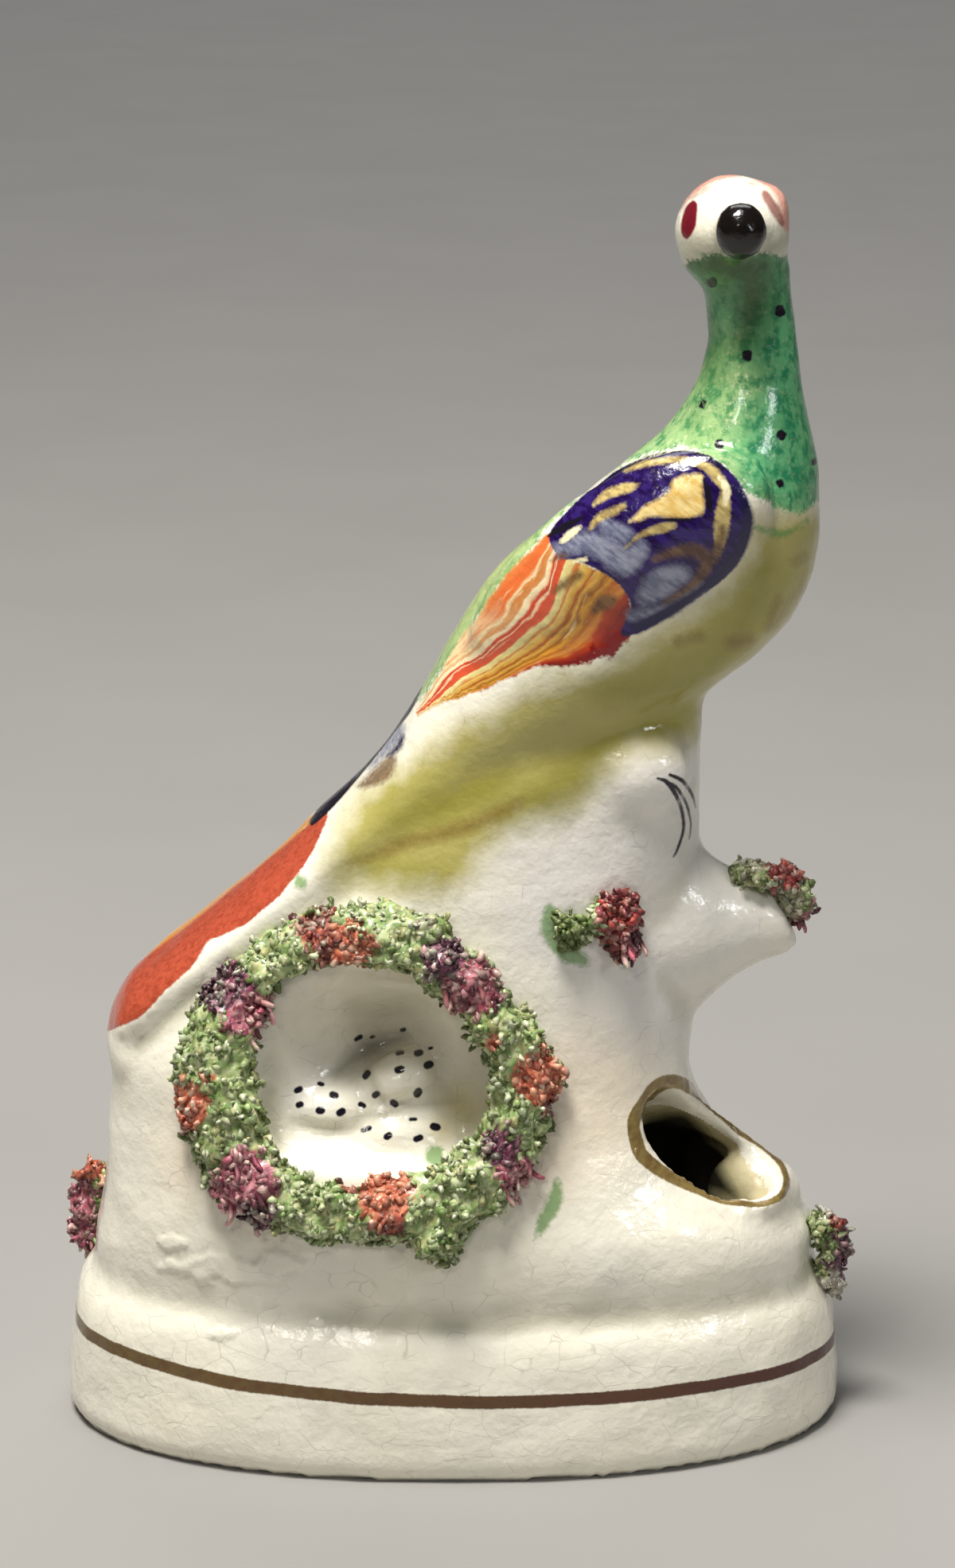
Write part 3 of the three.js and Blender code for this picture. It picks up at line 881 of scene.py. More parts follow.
# %% Brown smears, claws and spots
brushed("umber", strokes(
    [(440, 1088, 3), (500, 1062, 7), (580, 1042, 9), (650, 1010, 6)],
    [(978, 752, 3), (968, 790, 5), (985, 770, 3), (1000, 745, 2)], [(1012, 700, 3), (1000, 706, 4)],
    [(940, 805, 7), (920, 808, 8)], [(1010, 735, 2), (1002, 752, 3), (990, 760, 2)],
    [(975, 830, 4), (955, 842, 5)], [(880, 800, 5), (850, 806, 4)],
))
brushed("ink", strokes(
    [
        (826, 978, 1.5), (840, 985, 3.2), (854, 1010, 2.4), (859, 1040, 2), (851, 1068, 1.6),
        (846, 1077, 1),
    ],
    [(836, 982, 1.5), (850, 990, 2.2), (862, 1010, 1.8), (868, 1035, 1.2), (866, 1055, 0.6)],
    [(842, 974, 2.2), (858, 982, 2.6), (870, 1000, 1.8), (874, 1015, 0.8)],
))
brushed("ink", blobs(
    (895, 355, 7), (980, 391, 8), (939, 447, 8), (883, 508, 6), (904, 558, 6.5), (982, 547, 7),
    (980, 608, 6), (1022, 580, 5),
))
brushed("leaf", strokes(
    [(948, 662, 3), (966, 668, 5), (985, 670, 6), (1000, 664, 3), (1018, 654, 3)],
))

# %% Tail
brushed("orange", area([
    (372, 1046), (394, 1026), (412, 1021), (404, 1046), (395, 1065), (380, 1090), (362, 1113),
    (345, 1132), (328, 1145), (312, 1160), (296, 1168), (280, 1176), (262, 1182), (252, 1198),
    (240, 1216), (209, 1244), (180, 1276), (160, 1286), (132, 1297), (100, 1300), (100, 1240),
    (150, 1160), (300, 1050),
]), back=3)
brushed("ink", strokes(
    [
        (526, 862, 5), (512, 888, 7), (494, 912, 7), (467, 945, 8), (441, 975, 9), (414, 1008, 8),
        (392, 1034, 4),
    ],
), back=6)
brushed("pale_blue", strokes([(504, 916, 6), (492, 932, 8), (476, 953, 5), (462, 968, 2)]), back=3)
brushed("blue_mark", strokes([(506, 926, 3), (500, 940, 4), (488, 950, 3)]), back=3)
brushed("brown", strokes([(492, 955, 7), (480, 972, 11), (464, 982, 7), (452, 988, 3)]), back=3)
brushed("yellow_edge", strokes(
    [
        (404, 1020, 3), (380, 1038, 4), (340, 1072, 4), (290, 1114, 3), (240, 1156, 3),
        (180, 1202, 2),
    ],
), back=6)
brushed("leaf", blobs((377, 1110, 9)))

# %% Speckles on the eggs
brushed("ink", strokes(
    [(373, 1371, 4), (377, 1369, 4)], [(418, 1376, 4.6), (421, 1377, 4.6)],
    [(375, 1389, 4), (378, 1388, 4)], [(401, 1396, 4.8), (404, 1396, 4.8)],
    [(427, 1399, 4.8), (430, 1397, 4.8)], [(453, 1388, 3.4), (457, 1390, 3.4)],
    [(401, 1362, 2.8), (405, 1363, 2.8)], [(459, 1353, 4.2), (462, 1349, 4.2)],
    [(500, 1345, 4.8), (504, 1344, 4.8)], [(524, 1324, 4.2), (528, 1323, 4.2)],
    [(500, 1324, 3), (505, 1323, 3)], [(537, 1339, 5), (540, 1338, 5)],
    [(524, 1375, 5), (526, 1372, 5)], [(494, 1386, 4.4), (497, 1388, 4.4)],
    [(471, 1377, 4), (474, 1375, 4)], [(456, 1421, 3.2), (464, 1418, 3.2)],
    [(486, 1429, 4.4), (489, 1427, 4.4)], [(523, 1432, 4.2), (528, 1430, 4.2)],
    [(545, 1416, 5), (549, 1417, 5)], [(516, 1407, 2.4), (522, 1407, 2.4)],
    [(447, 1307, 2.6), (453, 1303, 3)], [(466, 1304, 1.8), (470, 1303, 1.8)],
    [(505, 1295, 2.6), (508, 1294, 2.6)], [(539, 1318, 2), (543, 1317, 2)],
))

# %% Green dabs, and shade in the nest
brushed("leaf", blobs((548, 1453, 13)))
brushed("leaf", strokes([(700, 1484, 4), (697, 1510, 9), (684, 1535, 8), (674, 1556, 3)]))
brushed("leaf", strokes([(690, 1142, 7), (694, 1168, 14), (712, 1196, 12), (735, 1208, 6)]))
# Painted shade on the nest: over the bowl's upper part, in the dent behind the eggs and in the gaps
# between the eggs.
brushed("pooled", area([
    (346, 1250), (410, 1226), (520, 1230), (574, 1290), (594, 1360), (588, 1404), (560, 1412),
    (553, 1335), (512, 1314), (470, 1332), (448, 1352), (400, 1352), (352, 1360), (340, 1300),
]))
brushed("dark_pool", strokes([(424, 1347, 5), (452, 1326, 13), (478, 1314, 11), (506, 1304, 5)]))
brushed("egg_gap", strokes(
    [(462, 1346, 2), (470, 1362, 4), (482, 1384, 3), (500, 1396, 2)],
    [(452, 1402, 2), (478, 1400, 4), (520, 1390, 4), (566, 1386, 2)],
    [(368, 1408, 1), (400, 1418, 4), (436, 1418, 4), (456, 1406, 2)],
))
brushed("yellow_wall", blobs((582, 1392, 26), (556, 1420, 14)))

# %% [markdown]
# ## Gilding
# Gold was brushed on last: one line round the base and a ring on the lip of the
# quill hole. The line follows a height that changes a little along the base. The
# ring is drawn in the picture, because its width changes as the brush turned,
# and is kept to the lip by each vertex's distance from the oval's own rim.

# %% The line round the base
LINE_HALF_WIDTH = 0.74
LINE_BACK = 4
BASE_MIDDLE = 9
BASE_REACH = 6
LINE_ACROSS = [-44, -37, -33, -28, -22, -16, -6, 4, 14, 25, 34, 40, 44]
LINE_HEIGHTS = [11.6, 11.45, 11.2, 10.85, 10.5, 10.25, 9.9, 9.6, 9.6, 9.7, 9.5, 9.1, 8.8]

off_the_line = np.abs(AT[:, 2] - np.interp(AT[:, 0], LINE_ACROSS, LINE_HEIGHTS))
on_base = np.abs(AT[:, 2] - BASE_MIDDLE) < BASE_REACH
brushed("gilding", np.where(on_base, LINE_HALF_WIDTH - off_the_line, FAR_OUTSIDE), LINE_BACK)

# %% The gilt rim of the quill hole
HOLE_BACK = 12
RING_BACK = 9
RING_REACH = 3.6
FAR_RIM_HALF_WIDTH = 1.6
RIM_ANGLES = [0, 100, 113, 153, 184, 205, 221, 228, 235, 247, 267, 311, 360]
RIM_LEVELS = [0, 0.3, 1.0, 4.2, 5.2, 4.9, 4.1, 3.5, 2.8, 1.9, 0.9, 0.4, 0]

AT_MOUTH = from_mouth(AT * MM)
reach = np.hypot(AT_MOUTH[:, 0], AT_MOUTH[:, 1])
past_rim = reach * (1 - 1 / np.maximum(np.hypot(*on_oval(AT_MOUTH)), 0.01))
level = AT_MOUTH[:, 2] + rim_dip(AT_MOUTH)
angle = angle_round(AT_MOUTH) % 360
near_the_rim = RING_REACH - np.hypot(past_rim, level - np.interp(angle, RIM_ANGLES, RIM_LEVELS))
near_the_rim = np.minimum(near_the_rim, 4 * turned_to_eye + 0.3)
ring_of_gold = strokes([
    (799, 1432, 8.4), (805, 1450, 8.8), (820, 1464, 8.4), (834, 1474, 7.8), (854, 1485, 7),
    (879, 1496, 6.2), (903, 1507, 4.8), (929, 1512, 4.3), (949, 1514, 3.8), (967, 1511, 4.1),
    (982, 1502, 4.8), (988, 1489, 4.4), (987, 1478, 3.8), (981, 1463, 3.6), (967, 1449, 3.1),
    (949, 1436, 2.7), (929, 1424, 2.7), (911, 1408, 3), (895, 1393, 4), (883, 1380, 5.2),
    (870, 1370, 6.6), (854, 1361, 8.6), (839, 1360, 9), (824, 1367, 8.7), (812, 1381, 7.4),
    (799, 1402, 7.8), (796, 1417, 8), (799, 1432, 8.4),
])
brushed("gilding", np.minimum(ring_of_gold, near_the_rim), RING_BACK)

far_side = (angle > 5) & (angle < 120) & (past_rim > -0.4)
behind_the_rim = FAR_RIM_HALF_WIDTH - np.hypot(past_rim, level)
behind_the_rim = np.minimum(behind_the_rim, 0.6 - 4 * turned_to_eye)
brushed("gilding", np.where(far_side, behind_the_rim, FAR_OUTSIDE), HOLE_BACK)

# %% [markdown]
# ## The dark inside of the quill hole
# In the picture the hole is black, but a glazed wall in soft light comes out
# grey. So the walls of the chamber are painted dark, which needs to know which
# vertices are walls: those that see the mouth, or that face another wall.

# %% The dark inside of the quill hole
LONGEST_RAY = 30
DARK_DEPTH = 9
BELOW_RIM = -0.6
in_the_dark = area([
    (808, 1411), (827, 1402), (846, 1398), (864, 1400), (885, 1422), (895, 1443), (903, 1466),
    (916, 1487), (923, 1503), (901, 1499), (872, 1489), (846, 1477), (825, 1459), (811, 1435),
])


def is_wall(start, normal):
    """Whether a place sees the middle of the mouth, or faces another wall."""
    toward = MOUTH - start
    if own_tree.ray_cast(start, toward.normalized(), toward.length)[0] is None:
        return True
    return own_tree.ray_cast(start, normal, LONGEST_RAY * MM)[0] is not None


walls = np.full(len(AT), FAR_OUTSIDE)
for i in np.flatnonzero((level < BELOW_RIM) & (np.linalg.norm(AT_MOUTH, axis=1) < LONGEST_RAY)):
    if is_wall(Vector(starts[i]), Vector(normals[i])):
        walls[i] = max(in_the_dark[i], -AT_MOUTH[i, 2] - DARK_DEPTH)
brushed("hollow", walls, HOLE_BACK)
brushed("inner_wall", np.where(walls > FAR_OUTSIDE, 1.0, FAR_OUTSIDE), HOLE_BACK)

# %% Keep the paint on the vertices
def keep(name, values):
    """Stores a number on each of the figure's vertices."""
    attribute = figure.data.attributes.new(name, "FLOAT", "POINT")
    attribute.data.foreach_set("value", values.astype(np.float32))


for name, field in sorted(paint.items()):
    keep(name, np.maximum(field, FAR_OUTSIDE))
print("paints:", ", ".join(sorted(paint)))

# %% [markdown]
# ## How cupped the surface is
# Glaze runs off ridges and gathers in hollows, and hollows also lie in shade, so
# the tint this measure drives is partly glaze and partly painted shade. A smoothed
# copy shows which is which: where the real skin lies below the smoothed one, it
# is a hollow. The clay's cores use the same measure later, for their painted shade.

# %% How cupped the surface is
def hollowness(piece, iterations):
    """How far each vertex lies below a smoothed copy of its piece, in millimetres."""
    melted = put_in_scene("melted", piece.data.copy())
    apply_modifier(melted, "SMOOTH", factor=0.5, iterations=iterations)
    below = ((places(melted) - places(piece)) * facing(piece)).sum(axis=1) / MM
    bpy.data.objects.remove(melted)
    return below


cupped = hollowness(figure, 60)
keep("cupped", np.clip(cupped * 4, -1, 1))
print("cupped from", round(float(cupped.min()), 2), "to", round(float(cupped.max()), 2), "mm")

# %% The figure is finished
only(figure)
bpy.ops.object.shade_smooth()
figure.vertex_groups.clear()
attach(figure, "root")
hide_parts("figure")
print("figure:", len(figure.data.vertices), "vertices")

# %% [markdown]
# ## Shredded clay
# The wreath and the sprays are clay pushed through a sieve, so they are a mass of
# short bent threads. A hair system would draw them, but it can't be exported.
# So five crumbs and one longer strand are modelled once, each from a pentagon
# that is drawn out and turned a few times. Hundreds of copies are set on a lumpy
# core, with a dozen or two faces each.

# %% Threads of clay
THREAD_SIDES = 5


def end_of(piece):
    """The face at the growing end of a thread."""
    return next(face for face in bmesh.from_edit_mesh(piece.data).faces if face.select)


def thread(thickness, length, turns, tip=0.6):
    """A thread's vertices in millimetres, its faces, and how far along it each vertex is."""
    only()
    bpy.ops.mesh.primitive_circle_add(
        vertices=THREAD_SIDES, radius=thickness / 2 * MM, fill_type="NGON"
    )
    piece = bpy.context.object
    edit(piece)
    for turn, axis in turns:
        step = end_of(piece).normal * (length / len(turns) * MM)
        bpy.ops.mesh.extrude_region_move(TRANSFORM_OT_translate={"value": step})
        middle = end_of(piece).calc_center_median()
        bpy.ops.transform.rotate(
            value=math.radians(turn), orient_axis=axis, center_override=middle
        )
    middle = end_of(piece).calc_center_median()
    bpy.ops.transform.resize(value=(tip, tip, tip), center_override=middle)
    bpy.ops.mesh.select_all(action="SELECT")
    bpy.ops.mesh.normals_make_consistent(inside=False)
    end_edit()
    points = places(piece) / MM
    faces = [tuple(face.vertices) for face in piece.data.polygons]
    share = (np.arange(len(points)) // THREAD_SIDES) / len(turns)
    bpy.data.objects.remove(piece)
    return points, faces, share


CRUMBS = [
    thread(0.90, 1.0, [(45, "X"), (50, "X")], 0.75),
    thread(0.70, 1.5, [(55, "Y"), (60, "Y"), (45, "X")], 0.7),
    thread(1.05, 0.8, [(30, "X"), (40, "Y")], 0.8),
    thread(0.60, 1.5, [(-60, "X"), (70, "Y"), (65, "Y")], 0.7),
    thread(0.66, 1.3, [(25, "Y"), (60, "X"), (-40, "Y")], 0.6),
]
STRAND = thread(0.56, 2.2, [(12, "X"), (-18, "Y"), (20, "X"), (-10, "Y")])
print("faces in a crumb:", [len(faces) for _, faces, _ in CRUMBS])

# %% [markdown]
# ## Colours of the clay
# Each lump was dabbed with one enamel, and the white glaze stayed on its tips. So
# a crumb takes one colour from its lump's own few, is darkened low down as painted
# shade, and is whitened at the end, partly as bare clay and partly as a painted
# glint. The cores are darkened in their hollows as painted shade too. The flowers
# are named by where they are seen in the picture; all the rest is leaf.

# %% The enamels
def srgb(red, green, blue):
    """A colour from its usual 0 to 255 numbers, as the linear light Blender uses."""
    share = np.array([red, green, blue]) / 255
    return np.where(share <= 0.04045, share / 12.92, ((share + 0.055) / 1.055) ** 2.4)


ENAMELS = {
    "leaf": [
        (160, 186, 118), (188, 206, 146), (134, 166, 92),
        (216, 222, 174), (104, 134, 68), (200, 196, 136),
    ],
    "sage": [(160, 158, 130), (128, 134, 100), (190, 186, 158), (120, 104, 84), (142, 152, 108)],
    "purple": [(70, 22, 46), (104, 34, 66), (146, 72, 100), (52, 16, 36), (190, 130, 146)],
    "pink": [(182, 92, 112), (206, 132, 142), (152, 62, 86), (226, 176, 174), (140, 60, 78)],
    "magenta": [(146, 56, 76), (182, 92, 106), (112, 34, 54), (212, 150, 156)],
    "orange": [(212, 108, 72), (226, 136, 98), (188, 84, 54), (236, 168, 130), (164, 76, 52)],
    "russet": [(134, 46, 40), (160, 66, 50), (104, 32, 34), (190, 100, 70)],
    "red": [(182, 58, 50), (206, 84, 68), (146, 36, 42), (160, 40, 66)],
    "white": [(232, 228, 216), (216, 210, 198), (240, 236, 226)],
}
# Each enamel's darker tone, used low down on crumbs and in the cores' hollows: painted shade.
SHADED_CLAY_TINTS = {
    "leaf": (88, 102, 46), "sage": (84, 78, 56), "white": (150, 144, 130),
    "purple": (50, 16, 34), "pink": (100, 36, 54), "magenta": (80, 26, 42),
    "orange": (136, 58, 38), "russet": (72, 26, 22), "red": (104, 28, 30),
}
CLAYS = {kind: [srgb(*tint) for tint in tints] for kind, tints in ENAMELS.items()}
SHADED_CLAY = {kind: srgb(*tint) for kind, tint in SHADED_CLAY_TINTS.items()}
# White for the tips: partly bare clay, partly a painted glint.
TIP_WHITE_AND_GLINT = srgb(240, 240, 214)
PALE_CLAYS = ("leaf", "sage", "white")
HANGING_CLAYS = ("pink", "magenta")
print("enamels:", ", ".join(CLAYS))

# %% Where the flowers are
FLOWERS = [
    (288, 1246, 34, "purple"), (304, 1276, 26, "pink"), (326, 1262, 16, "magenta"),
    (398, 1168, 24, "russet"), (412, 1188, 22, "russet"), (436, 1192, 32, "orange"),
    (560, 1208, 30, "purple"), (590, 1238, 36, "magenta"), (620, 1311, 11, "orange"),
    (676, 1354, 32, "orange"), (692, 1392, 12, "russet"), (630, 1442, 26, "purple"),
    (650, 1476, 26, "pink"), (668, 1506, 24, "pink"), (690, 1468, 12, "magenta"),
    (485, 1500, 36, "orange"), (494, 1540, 18, "russet"), (308, 1490, 42, "pink"),
    (318, 1524, 30, "purple"), (232, 1392, 30, "orange"), (222, 1412, 18, "russet"),
    (262, 1360, 9, "orange"), (532, 1160, 12, "sage"), (440, 1490, 12, "russet"),
    (785, 1142, 32, "red"), (772, 1176, 24, "red"), (796, 1180, 20, "magenta"),
    (792, 1208, 20, "magenta"), (778, 1108, 14, "white"), (812, 1120, 10, "white"),
    (988, 1097, 24, "red"), (1012, 1160, 18, "magenta"), (930, 1066, 22, "white"),
    (950, 1080, 16, "sage"), (985, 1140, 30, "sage"), (1000, 1165, 20, "russet"),
    (105, 1462, 24, "orange"), (100, 1500, 26, "magenta"), (96, 1536, 26, "pink"),
    (102, 1566, 18, "pink"), (1040, 1518, 12, "white"), (1056, 1534, 14, "russet"),
    (1066, 1558, 16, "purple"), (1064, 1588, 22, "purple"), (1048, 1612, 12, "white"),
]


def clay_kind(across, down, wander):
    """The colour of the lump that is seen nearest to a place, or leaf."""
    best, kind = 1.0, "leaf"
    for flower_across, flower_down, size, name in FLOWERS:
        gap = math.hypot(across - flower_across, down - flower_down) / size + wander
        if gap < best:
            best, kind = gap, name
    return kind


def flower_middle(kind, picture):
    """The picture place of the nearest flower of a kind."""
    same = [(across, down) for across, down, _, name in FLOWERS if name == kind]
    return min(same, key=lambda spot: math.hypot(spot[0] - picture[0], spot[1] - picture[1]))


print("dabs of flower colour:", len(FLOWERS))

# %% [markdown]
# ## Growing the clay on its cores
# Each CAD node's copy becomes the core: remeshed, made lumpy and drawn in, so
# that the crumbs on it end where the CAD solid does. A crumb is set on a face
# picked by chance, by area, and leans along the surface on leaves or out from
# the middle on flowers. One seed for each sprig gives the same clay every run.

# %% Lumpy cores
CORE_VOXEL = 0.5
CORE_INSET = 0.45
LUMP_SIZE = 3.0
LUMP_HEIGHT = 2.2
PIT_SIZE = 0.9
PIT_HEIGHT = 0.55


def core_of(node, name):
    """A copy of a sprig's CAD node, drawn in and made lumpy and pitted."""
    core = copy_of(node, name)
    remesh(core, CORE_VOXEL)
    apply_modifier(core, "SMOOTH", factor=0.5, iterations=6)
    swell(core, name + "_lumps", LUMP_SIZE, LUMP_HEIGHT, 0.5 + CORE_INSET / LUMP_HEIGHT)
    swell(core, name + "_pits", PIT_SIZE, PIT_HEIGHT)
    return core


def one_of(choices, chance):
    """One of some things, picked by chance."""
    return choices[chance.integers(len(choices))]


def core_colours(core, chance):
    """A lump's own colour in the open, darkened as painted shade where the core is hollow."""
    shade = np.clip(0.72 - 2.2 * hollowness(core, 12), 0, 1)
    colours = []
    for picture, lit in zip(seen(places(core)), shade):
        kind = clay_kind(*picture, chance.normal(0, 0.05))
        colours.append(SHADED_CLAY[kind] * (1 - lit) + one_of(CLAYS[kind], chance) * lit)
    return colours


# %% One crumb
ROOT_DEPTH = 0.32
CRUMB_RISE = 0.75
PATCH_SIZE = 2.6
CRUMB_SIZES = (0.65, 1.25)
RISE_ON_LEAVES = (-0.2, 0.4)
RISE_ON_FLOWERS = (-0.1, 0.4)
TONES = (0.85, 1.15)
HANGING_SHARE = 0.16
HANGING_WAY = np.array([0.25, 0, -0.8])
WHITENED = [0, 0.3, 0.65, 0.95]
WHITENED_ODDS = [0.22, 0.26, 0.3, 0.22]


def turn_to(heading, roll):
    """A turn that brings +Z to the heading, after a roll about it."""
    toward = Vector(heading).to_track_quat("Z", "Y").to_matrix()
    return np.array(toward @ Matrix.Rotation(roll, 3, "Z"))


def set_crumb(kind, picture, middle, normal, chance):
    """A crumb set at a place: its vertices, its faces and how far along each vertex is."""
    lean = chance.normal(size=3)
    lean -= normal * (lean @ normal)
    lean /= np.linalg.norm(lean)
    size = chance.uniform(*CRUMB_SIZES)
    shape = one_of(CRUMBS, chance)
    rise = chance.uniform(*RISE_ON_LEAVES)
    if kind not in PALE_CLAYS:
        across, down = flower_middle(kind, picture)
        away = np.array([picture[0] - across, 0, down - picture[1]])
        away /= max(np.linalg.norm(away), 1)
        lean = 0.3 * away + 0.9 * lean
        rise = chance.uniform(*RISE_ON_FLOWERS)
        if kind in HANGING_CLAYS and chance.random() < HANGING_SHARE:
            shape = STRAND
            lean = lean * 0.4 + HANGING_WAY
            rise = 0.2
    heading = lean + normal * rise
    heading /= np.linalg.norm(heading)
    points, faces, share = shape
    placed = (points * size) @ turn_to(heading, chance.uniform(0, 2 * math.pi)).T * MM
    return placed + (middle - normal * ROOT_DEPTH * MM), faces, share


def crumb_colours(kind, middle, normal, placed, share, chance):
    """A crumb's colours: painted shade at its root, then its own enamel, and white at its tip,
    partly bare clay and partly a painted glint.
    """
    lit = np.clip(0.36 + 0.8 * ((placed - middle) @ normal) / (CRUMB_RISE * MM), 0, 1)[:, None]
    patch = 1.06 + 0.6 * noise.noise(Vector(middle) / (PATCH_SIZE * MM))
    base = one_of(CLAYS[kind], chance) * chance.uniform(*TONES) * patch
    tone = SHADED_CLAY[kind] * (1 - lit) + base * lit
    whitened = chance.choice(WHITENED, p=WHITENED_ODDS)
    whitened *= 1 if kind in PALE_CLAYS else 0.6
    tip = whitened * np.clip(1.2 * share[:, None] * lit - 0.1, 0, 1)
    return tone * (1 - tip) + TIP_WHITE_AND_GLINT * tip


# %% One piece from its crumbs
def clay_piece(name, points, faces, colours):
    """One piece from its vertices, its faces and each vertex's colour."""
    mesh = bpy.data.meshes.new(name)
    mesh.from_pydata(in_cad_box(np.vstack(points)).tolist(), [], faces)
    tint = mesh.attributes.new("clay_colour", "FLOAT_COLOR", "POINT")
    with_alpha = np.hstack([np.array(colours), np.ones((len(colours), 1))])
    tint.data.foreach_set("color", with_alpha.astype(np.float32).ravel())
    piece = put_in_scene(name, mesh)
    only(piece)
    bpy.ops.object.shade_smooth()
    return piece


# %% Crumbs over a core
bpy.context.view_layer.update()
body_tree = BVHTree.FromObject(figure, bpy.context.evaluated_depsgraph_get())


def shredded(node, name, count, seed):
    """Crumbs of clay over a core, joined with it as one piece."""
    chance = np.random.default_rng(seed)
    core = core_of(node, name)
    skin = core.data.polygons
    middles, normals = rows(skin, "center"), rows(skin, "normal")
    areas = rows(skin, "area", 1)[:, 0]
    points = [places(core)]
    faces = [tuple(face.vertices) for face in skin]
    colours = core_colours(core, chance)
    total = len(points[0])
    for pick in chance.choice(len(middles), size=count, p=areas / areas.sum()):
        middle, normal = middles[pick], normals[pick]
        nearest, outward, *_ = body_tree.find_nearest(Vector(middle))
        if (Vector(middle) - nearest).dot(outward) < 0:
            continue
        picture = seen(middle[None])[0]
        kind = clay_kind(*picture, chance.normal(0, 0.10))
        placed, own_faces, share = set_crumb(kind, picture, middle, normal, chance)
        colours.extend(crumb_colours(kind, middle, normal, placed, share, chance))
        points.append(placed)
        faces.extend(tuple(index + total for index in face) for face in own_faces)
        total += len(placed)
    bpy.data.objects.remove(core)
    piece = clay_piece(name, points, faces, colours)
    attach(piece, "root")
    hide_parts(node)
    triangles = sum(len(face) - 2 for face in faces)
    print(name, len(points) - 1, "crumbs,", triangles, "triangles")
    return piece


# %% Grow the clay
clay_pieces = [
    shredded("nest_wreath", "clay_wreath", 4500, 11),
    shredded("trunk_flowers", "clay_trunk_spray", 420, 12),
    shredded("branch_flowers", "clay_branch_spray", 420, 13),
    shredded("left_flowers", "clay_left_spray", 420, 14),
    shredded("right_flowers", "clay_right_spray", 400, 15),
]

# %% [markdown]
# ## Writing a finish as formulas
# A shader is arithmetic on colours and numbers. To keep it readable, a socket is
# wrapped so that + - * / add the Math nodes, and one method adds any other node:
# its settings are set first, then its sockets get values or links.

# %% Formulas for shaders
def formula(operation, swapped=False):
    """What an operator on a wire does: it adds a Math node."""
    def add_node(wire, other):
        first, second = (other, wire) if swapped else (wire, other)
        return wire.finish.maths(operation, first, second)
    return add_node


class Wire:
    """A socket's value in a formula."""

    def __init__(self, finish, socket):
        self.finish = finish
        self.socket = socket

    __add__ = __radd__ = formula("ADD")
    __sub__ = formula("SUBTRACT")
    __rsub__ = formula("SUBTRACT", swapped=True)
    __mul__ = __rmul__ = formula("MULTIPLY")
    __truediv__ = formula("DIVIDE")


def rgba(red, green, blue):
    return (*srgb(red, green, blue), 1)


# %% A finish, built node by node
class Finish:
    """A material, built node by node."""

    def __init__(self, name):
        self.material = bpy.data.materials.new(name)
        self.material.use_nodes = True
        self.tree = self.material.node_tree
        self.tree.nodes.clear()

    def node(self, kind, settings=None, sockets=None, out=0):
        """Any node, from its settings, its sockets and the output that is wanted."""
        made = self.tree.nodes.new(kind)
        for name, value in (settings or {}).items():
            if name == "stops":
                self.set_stops(made.color_ramp, value)
            else:
                setattr(made, name, value)
        for key, value in (sockets or {}).items():
            socket = self.socket_of(made.inputs, key)
            if isinstance(value, Wire):
                self.tree.links.new(value.socket, socket)
            else:
                socket.default_value = value
        return Wire(self, self.socket_of(made.outputs, out))

    @staticmethod
    def socket_of(sockets, key):
        """A socket by its number, or the one in use by its name."""
        if isinstance(key, int):
            return sockets[key] if len(sockets) else None
        return next(each for each in sockets if each.name == key and each.enabled)

    @staticmethod
    def set_stops(ramp, stops):
        while len(ramp.elements) > 1:
            ramp.elements.remove(ramp.elements[-1])
        ramp.elements[0].position = stops[0][0]
        ramp.elements[0].color = stops[0][1]
        for position, colour in stops[1:]:
            ramp.elements.new(position).color = colour

    def maths(self, operation, first, second=0.0, clamp=False):
        settings = {"operation": operation, "use_clamp": clamp}
        return self.node("ShaderNodeMath", settings, {0: first, 1: second})

    def clamped(self, wire):
        return self.maths("ADD", wire, 0.0, clamp=True)

    def vector(self, operation, place, by):
        second = "Scale" if operation == "SCALE" else 1
        settings = {"operation": operation}
        return self.node("ShaderNodeVectorMath", settings, {0: place, second: by})

    def in_mm(self):
        return self.vector("SCALE", self.node("ShaderNodeTexCoord", out="Object"), 1 / MM)

    def stored(self, name, out="Fac"):
        return self.node("ShaderNodeAttribute", {"attribute_name": name}, out=out)

    def noise(self, place, per_mm, detail=2.0, roughness=0.5):
        sockets = {"Vector": place, "Scale": per_mm, "Detail": detail, "Roughness": roughness}
        return self.node("ShaderNodeTexNoise", None, sockets, "Fac")

    def blend(self, share, under, over):
        sockets = {"Factor": share, "A": under, "B": over}
        return self.node("ShaderNodeMix", {"data_type": "RGBA"}, sockets, "Result")

    def two_tone(self, share, first, second):
        """A mix of two colours by a share that is held between 0 and 1."""
        return self.blend(self.clamped(share), rgba(*first), rgba(*second))

    def bump(self, height, strength):
        sockets = {"Height": height, "Distance": MM, "Strength": strength}
        return self.node("ShaderNodeBump", None, sockets, "Normal")

    def surface(self, sockets):
        """Ends the material in a Principled shader with these sockets."""
        shader = self.node("ShaderNodeBsdfPrincipled", None, sockets, "BSDF")
        self.node("ShaderNodeOutputMaterial", None, {"Surface": shader})
        print(self.material.name, "has", len(self.tree.nodes), "nodes")
        return self.material


# %% [markdown]
# ## The painted glaze
# Under everything lies a cream glaze that is whiter on ridges, greener and greyer
# in hollows, partly as glaze gathered there and partly as painted shade, and
# crossed by fine crackle. Painted shade also lies on the trunk, on the belly, in
# the nest, under the head and inside the quill hole. On it lie the enamels, from
# the soft washes to the fine dark strokes, each where its stored number rises
# above zero, with an edge made a little ragged by noise. A coat gives the wet shine.

